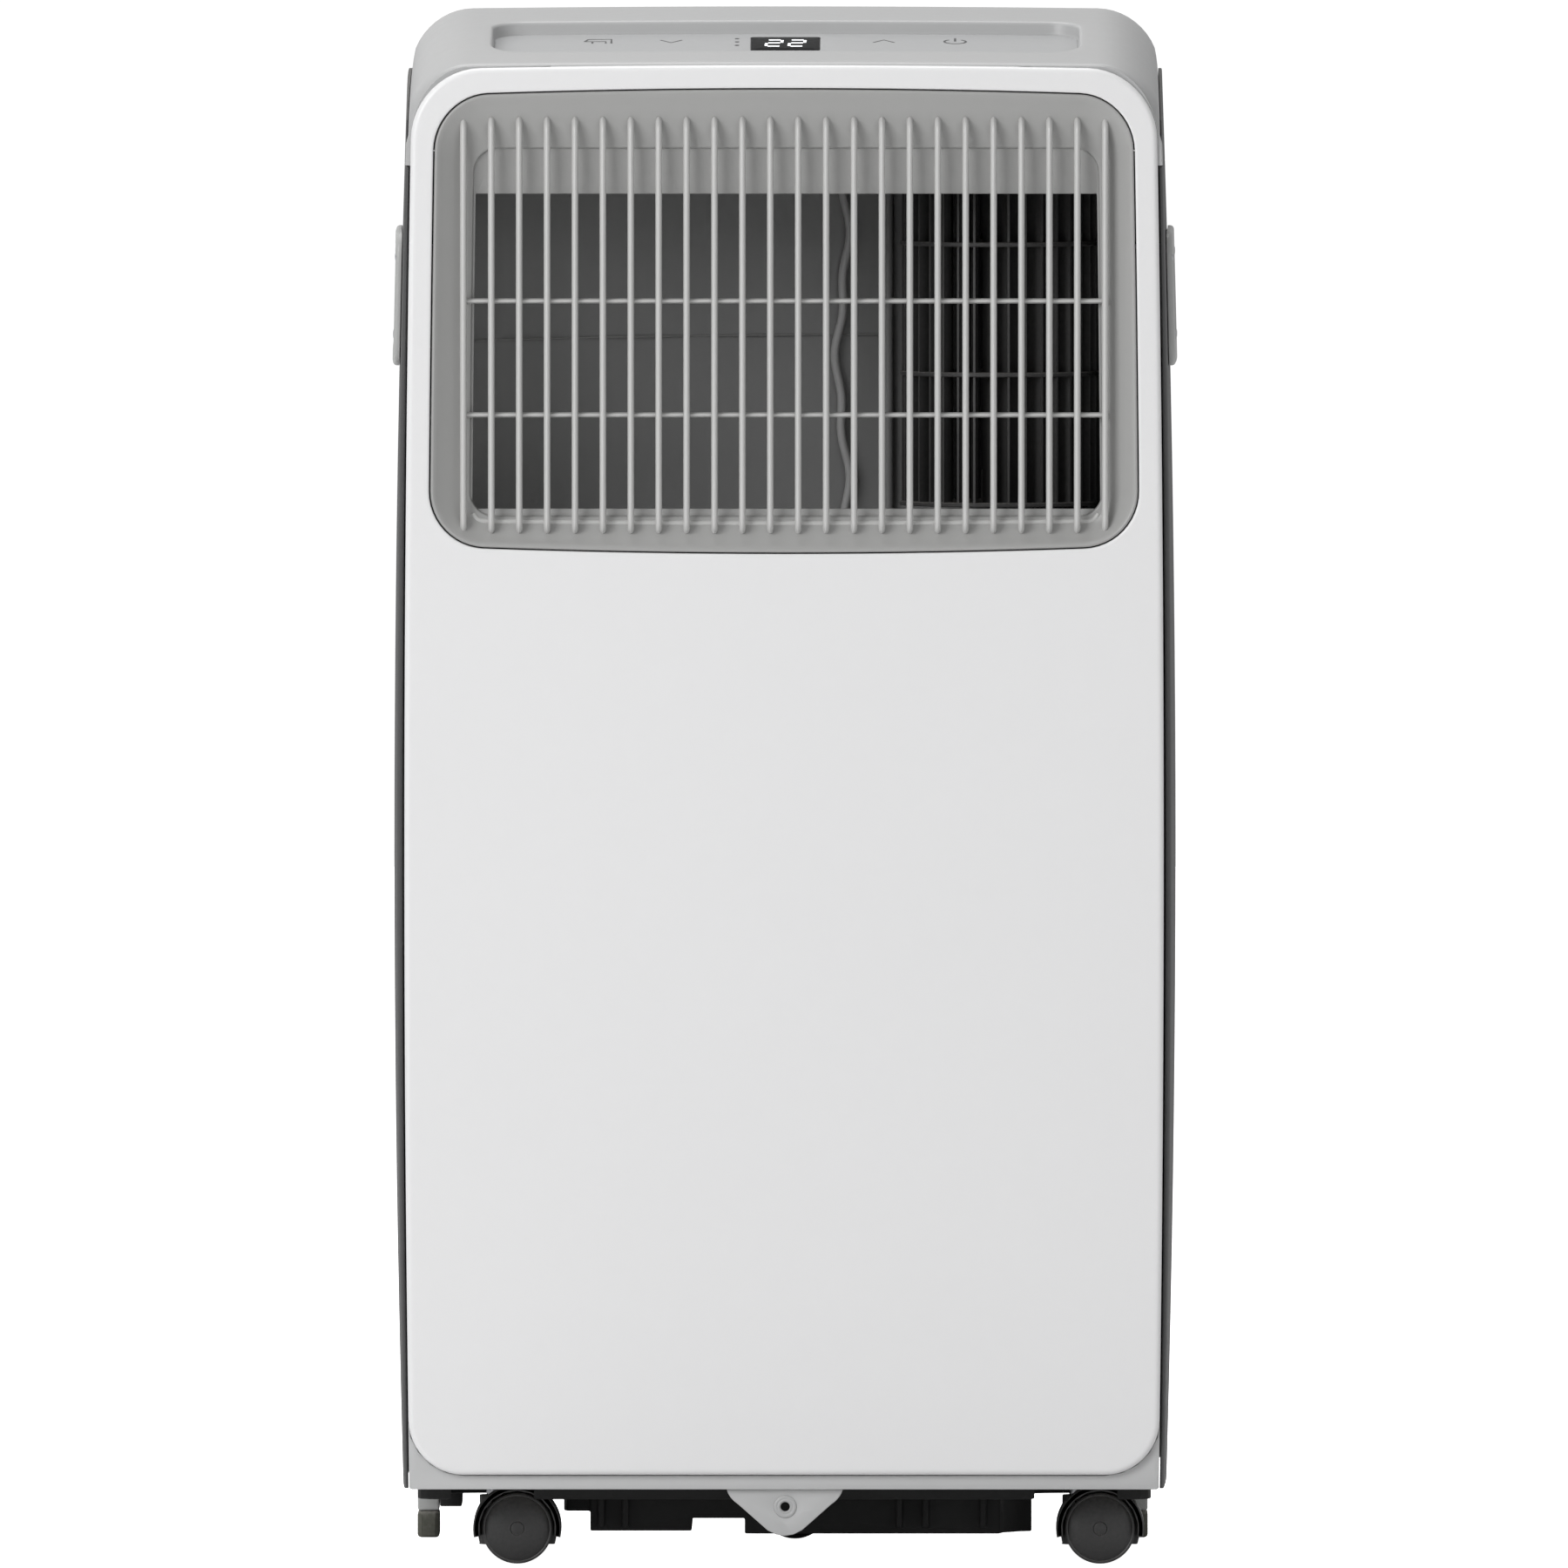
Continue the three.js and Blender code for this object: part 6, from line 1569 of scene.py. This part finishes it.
faces = [[i * size + k, i * size + k + 1, ((i + 1) % len(turns)) * size + k + 1,
          ((i + 1) % len(turns)) * size + k]
         for i in range(len(turns)) for k in range(size - 1)]
collar = moulded("exhaust_collar", verts, faces, intake_case, 35)
settle(collar, "case", ["exhaust_collar"])


guard = []
for turn in (0.0, math.pi / 3, 2 * math.pi / 3):
    reach = BORE + 0.8
    guard.append(tube_along("bar",
                            [(PORT[0] + s * reach * math.cos(turn), 150, PORT[2] + s * reach * math.sin(turn))
                                    for s in (-1, -0.5, 0, 0.5, 1)], 1.3, intake_case, 12))
for radius in (20.0, 42.0):
    circle = [(PORT[0] + radius * math.cos(t), 150, PORT[2] + radius * math.sin(t))
              for t in np.linspace(0, 2 * math.pi, 49)]
    guard.append(tube_along("hoop", circle, 1.2, intake_case, 10))
settle(joined("exhaust_guard", guard), "case", ["exhaust_collar"])


# ---- Drain plugs and cord gland ----
# Two push-in rubber plugs with a finger bar close the drains, and a moulded gland lines the cord hole.
plug_black = finish_of("plug_rubber", (0.014, 0.014, 0.014), 0.6, worn=0.2, dusty=0.4, grain_depth=0.00006)
for level in ("upper", "lower"):
    low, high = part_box(f"drain_plug_{level}")
    middle = ((low.x + high.x) / 2 / MM, 0, (low.z + high.z) / 2 / MM)
    stopper = [(0, 158), (7.4, 158), (8.0, 158.8), (8.8, 160.5), (8.0, 161.2), (8.0, 162.6), (8.8, 164),
               (8.0, 164.7),
               (8.2, 168.35), (11.5, 168.35), (12, 168.8), (12, 170.2), (11.3, 170.9), (10.4, 171),
               (9.4, 170.7), (0, 170.5)]
    stopper = spin("stopper", stopper, middle, "Y", 48, plug_black)
    grip = [(middle[0] + x, z) for x, z in rounded_outline(-8, 8, -1.5, 1.5, 1.4, 1.4, 4, (2, 1))]
    rings = [[(x * MM, y * MM, (middle[2] + z * s) * MM) for x, z in grip]
             for y, s in ((170.2, 1.25), (171, 1.0), (172.1, 0.95), (172.5, 0.6))]
    verts, faces = rings_mesh(rings, close=False)
    faces += [list(range(len(grip))), list(range(len(verts) - len(grip), len(verts)))]
    finger_bar = moulded("grip", verts, faces, plug_black)
    settle(joined(f"drain_plug_{level}", [stopper, finger_bar]), f"drain_plug_{level}",
           [f"drain_plug_{level}"])
low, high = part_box("cord_gland")
middle = ((low.x + high.x) / 2 / MM, 0, (low.z + high.z) / 2 / MM)
gland = [(3.9, 158), (7.4, 158), (7.8, 158.5), (7.8, 168.35), (11.4, 168.35), (12, 168.9), (12, 170.6),
         (11.2, 171.4),
         (7.4, 171.6), (6.4, 172.3), (5.2, 172.5), (4.2, 172.2), (3.7, 171.4), (3.7, 158.4), (3.9, 158)]
settle(spin("cord_gland", gland, middle, "Y", 48, plug_black), "case", ["cord_gland"])


# ---- Case screws ----
# Zinc-plated pan-head screws that hold the rear panel to both flanks and the base pan.
def screw_tree():
    """Screws: one head, stood on each point of the object's own mesh."""
    tree = bpy.data.node_groups.new("case_screws", "GeometryNodeTree")
    tree.interface.new_socket(name="Geometry", in_out="INPUT", socket_type="NodeSocketGeometry")
    for label, kind in (("Head", "NodeSocketObject"), ("Finish", "NodeSocketMaterial")):
        tree.interface.new_socket(name=label, in_out="INPUT", socket_type=kind)
    tree.interface.new_socket(name="Geometry", in_out="OUTPUT", socket_type="NodeSocketGeometry")
    given, made = tree.nodes.new("NodeGroupInput"), tree.nodes.new("NodeGroupOutput")
    link = tree.links.new
    head = tree.nodes.new("GeometryNodeObjectInfo")
    link(given.outputs["Head"], head.inputs["Object"])
    copies = tree.nodes.new("GeometryNodeInstanceOnPoints")
    link(given.outputs["Geometry"], copies.inputs["Points"])
    link(head.outputs["Geometry"], copies.inputs["Instance"])
    whole = tree.nodes.new("GeometryNodeRealizeInstances")
    link(copies.outputs["Instances"], whole.inputs["Geometry"])
    finish = tree.nodes.new("GeometryNodeSetMaterial")
    link(whole.outputs["Geometry"], finish.inputs["Geometry"])
    link(given.outputs["Finish"], finish.inputs["Material"])
    link(finish.outputs["Geometry"], made.inputs["Geometry"])
    return tree


HEAD = [(0, -0.5), (3.4, -0.5), (3.5, 0.4), (3.2, 1.2), (2.4, 1.8), (1.3, 2.05), (1.1, 1.1), (0, 1.0)]
head_piece = spin("screw_head", HEAD, (0, 0, 0), "Y", 24, zinc_steel)
spots = [(x, 168.0, z) for x in (-131, 131) for z in (60, 275, 445, 622)] + [(x, 168.0, 46) for x in (-20,
                                                                                                      40)]
spots_mesh = bpy.data.meshes.new("screw_spots")
spots_mesh.from_pydata([[c * MM for c in (bowed(x, z), y, z)] for x, y, z in spots], [], [])
screws = laid_out("case_screws", screw_tree(), spots_mesh, zinc_steel, Head=head_piece)
bpy.data.objects.remove(head_piece)
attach(screws, "case")
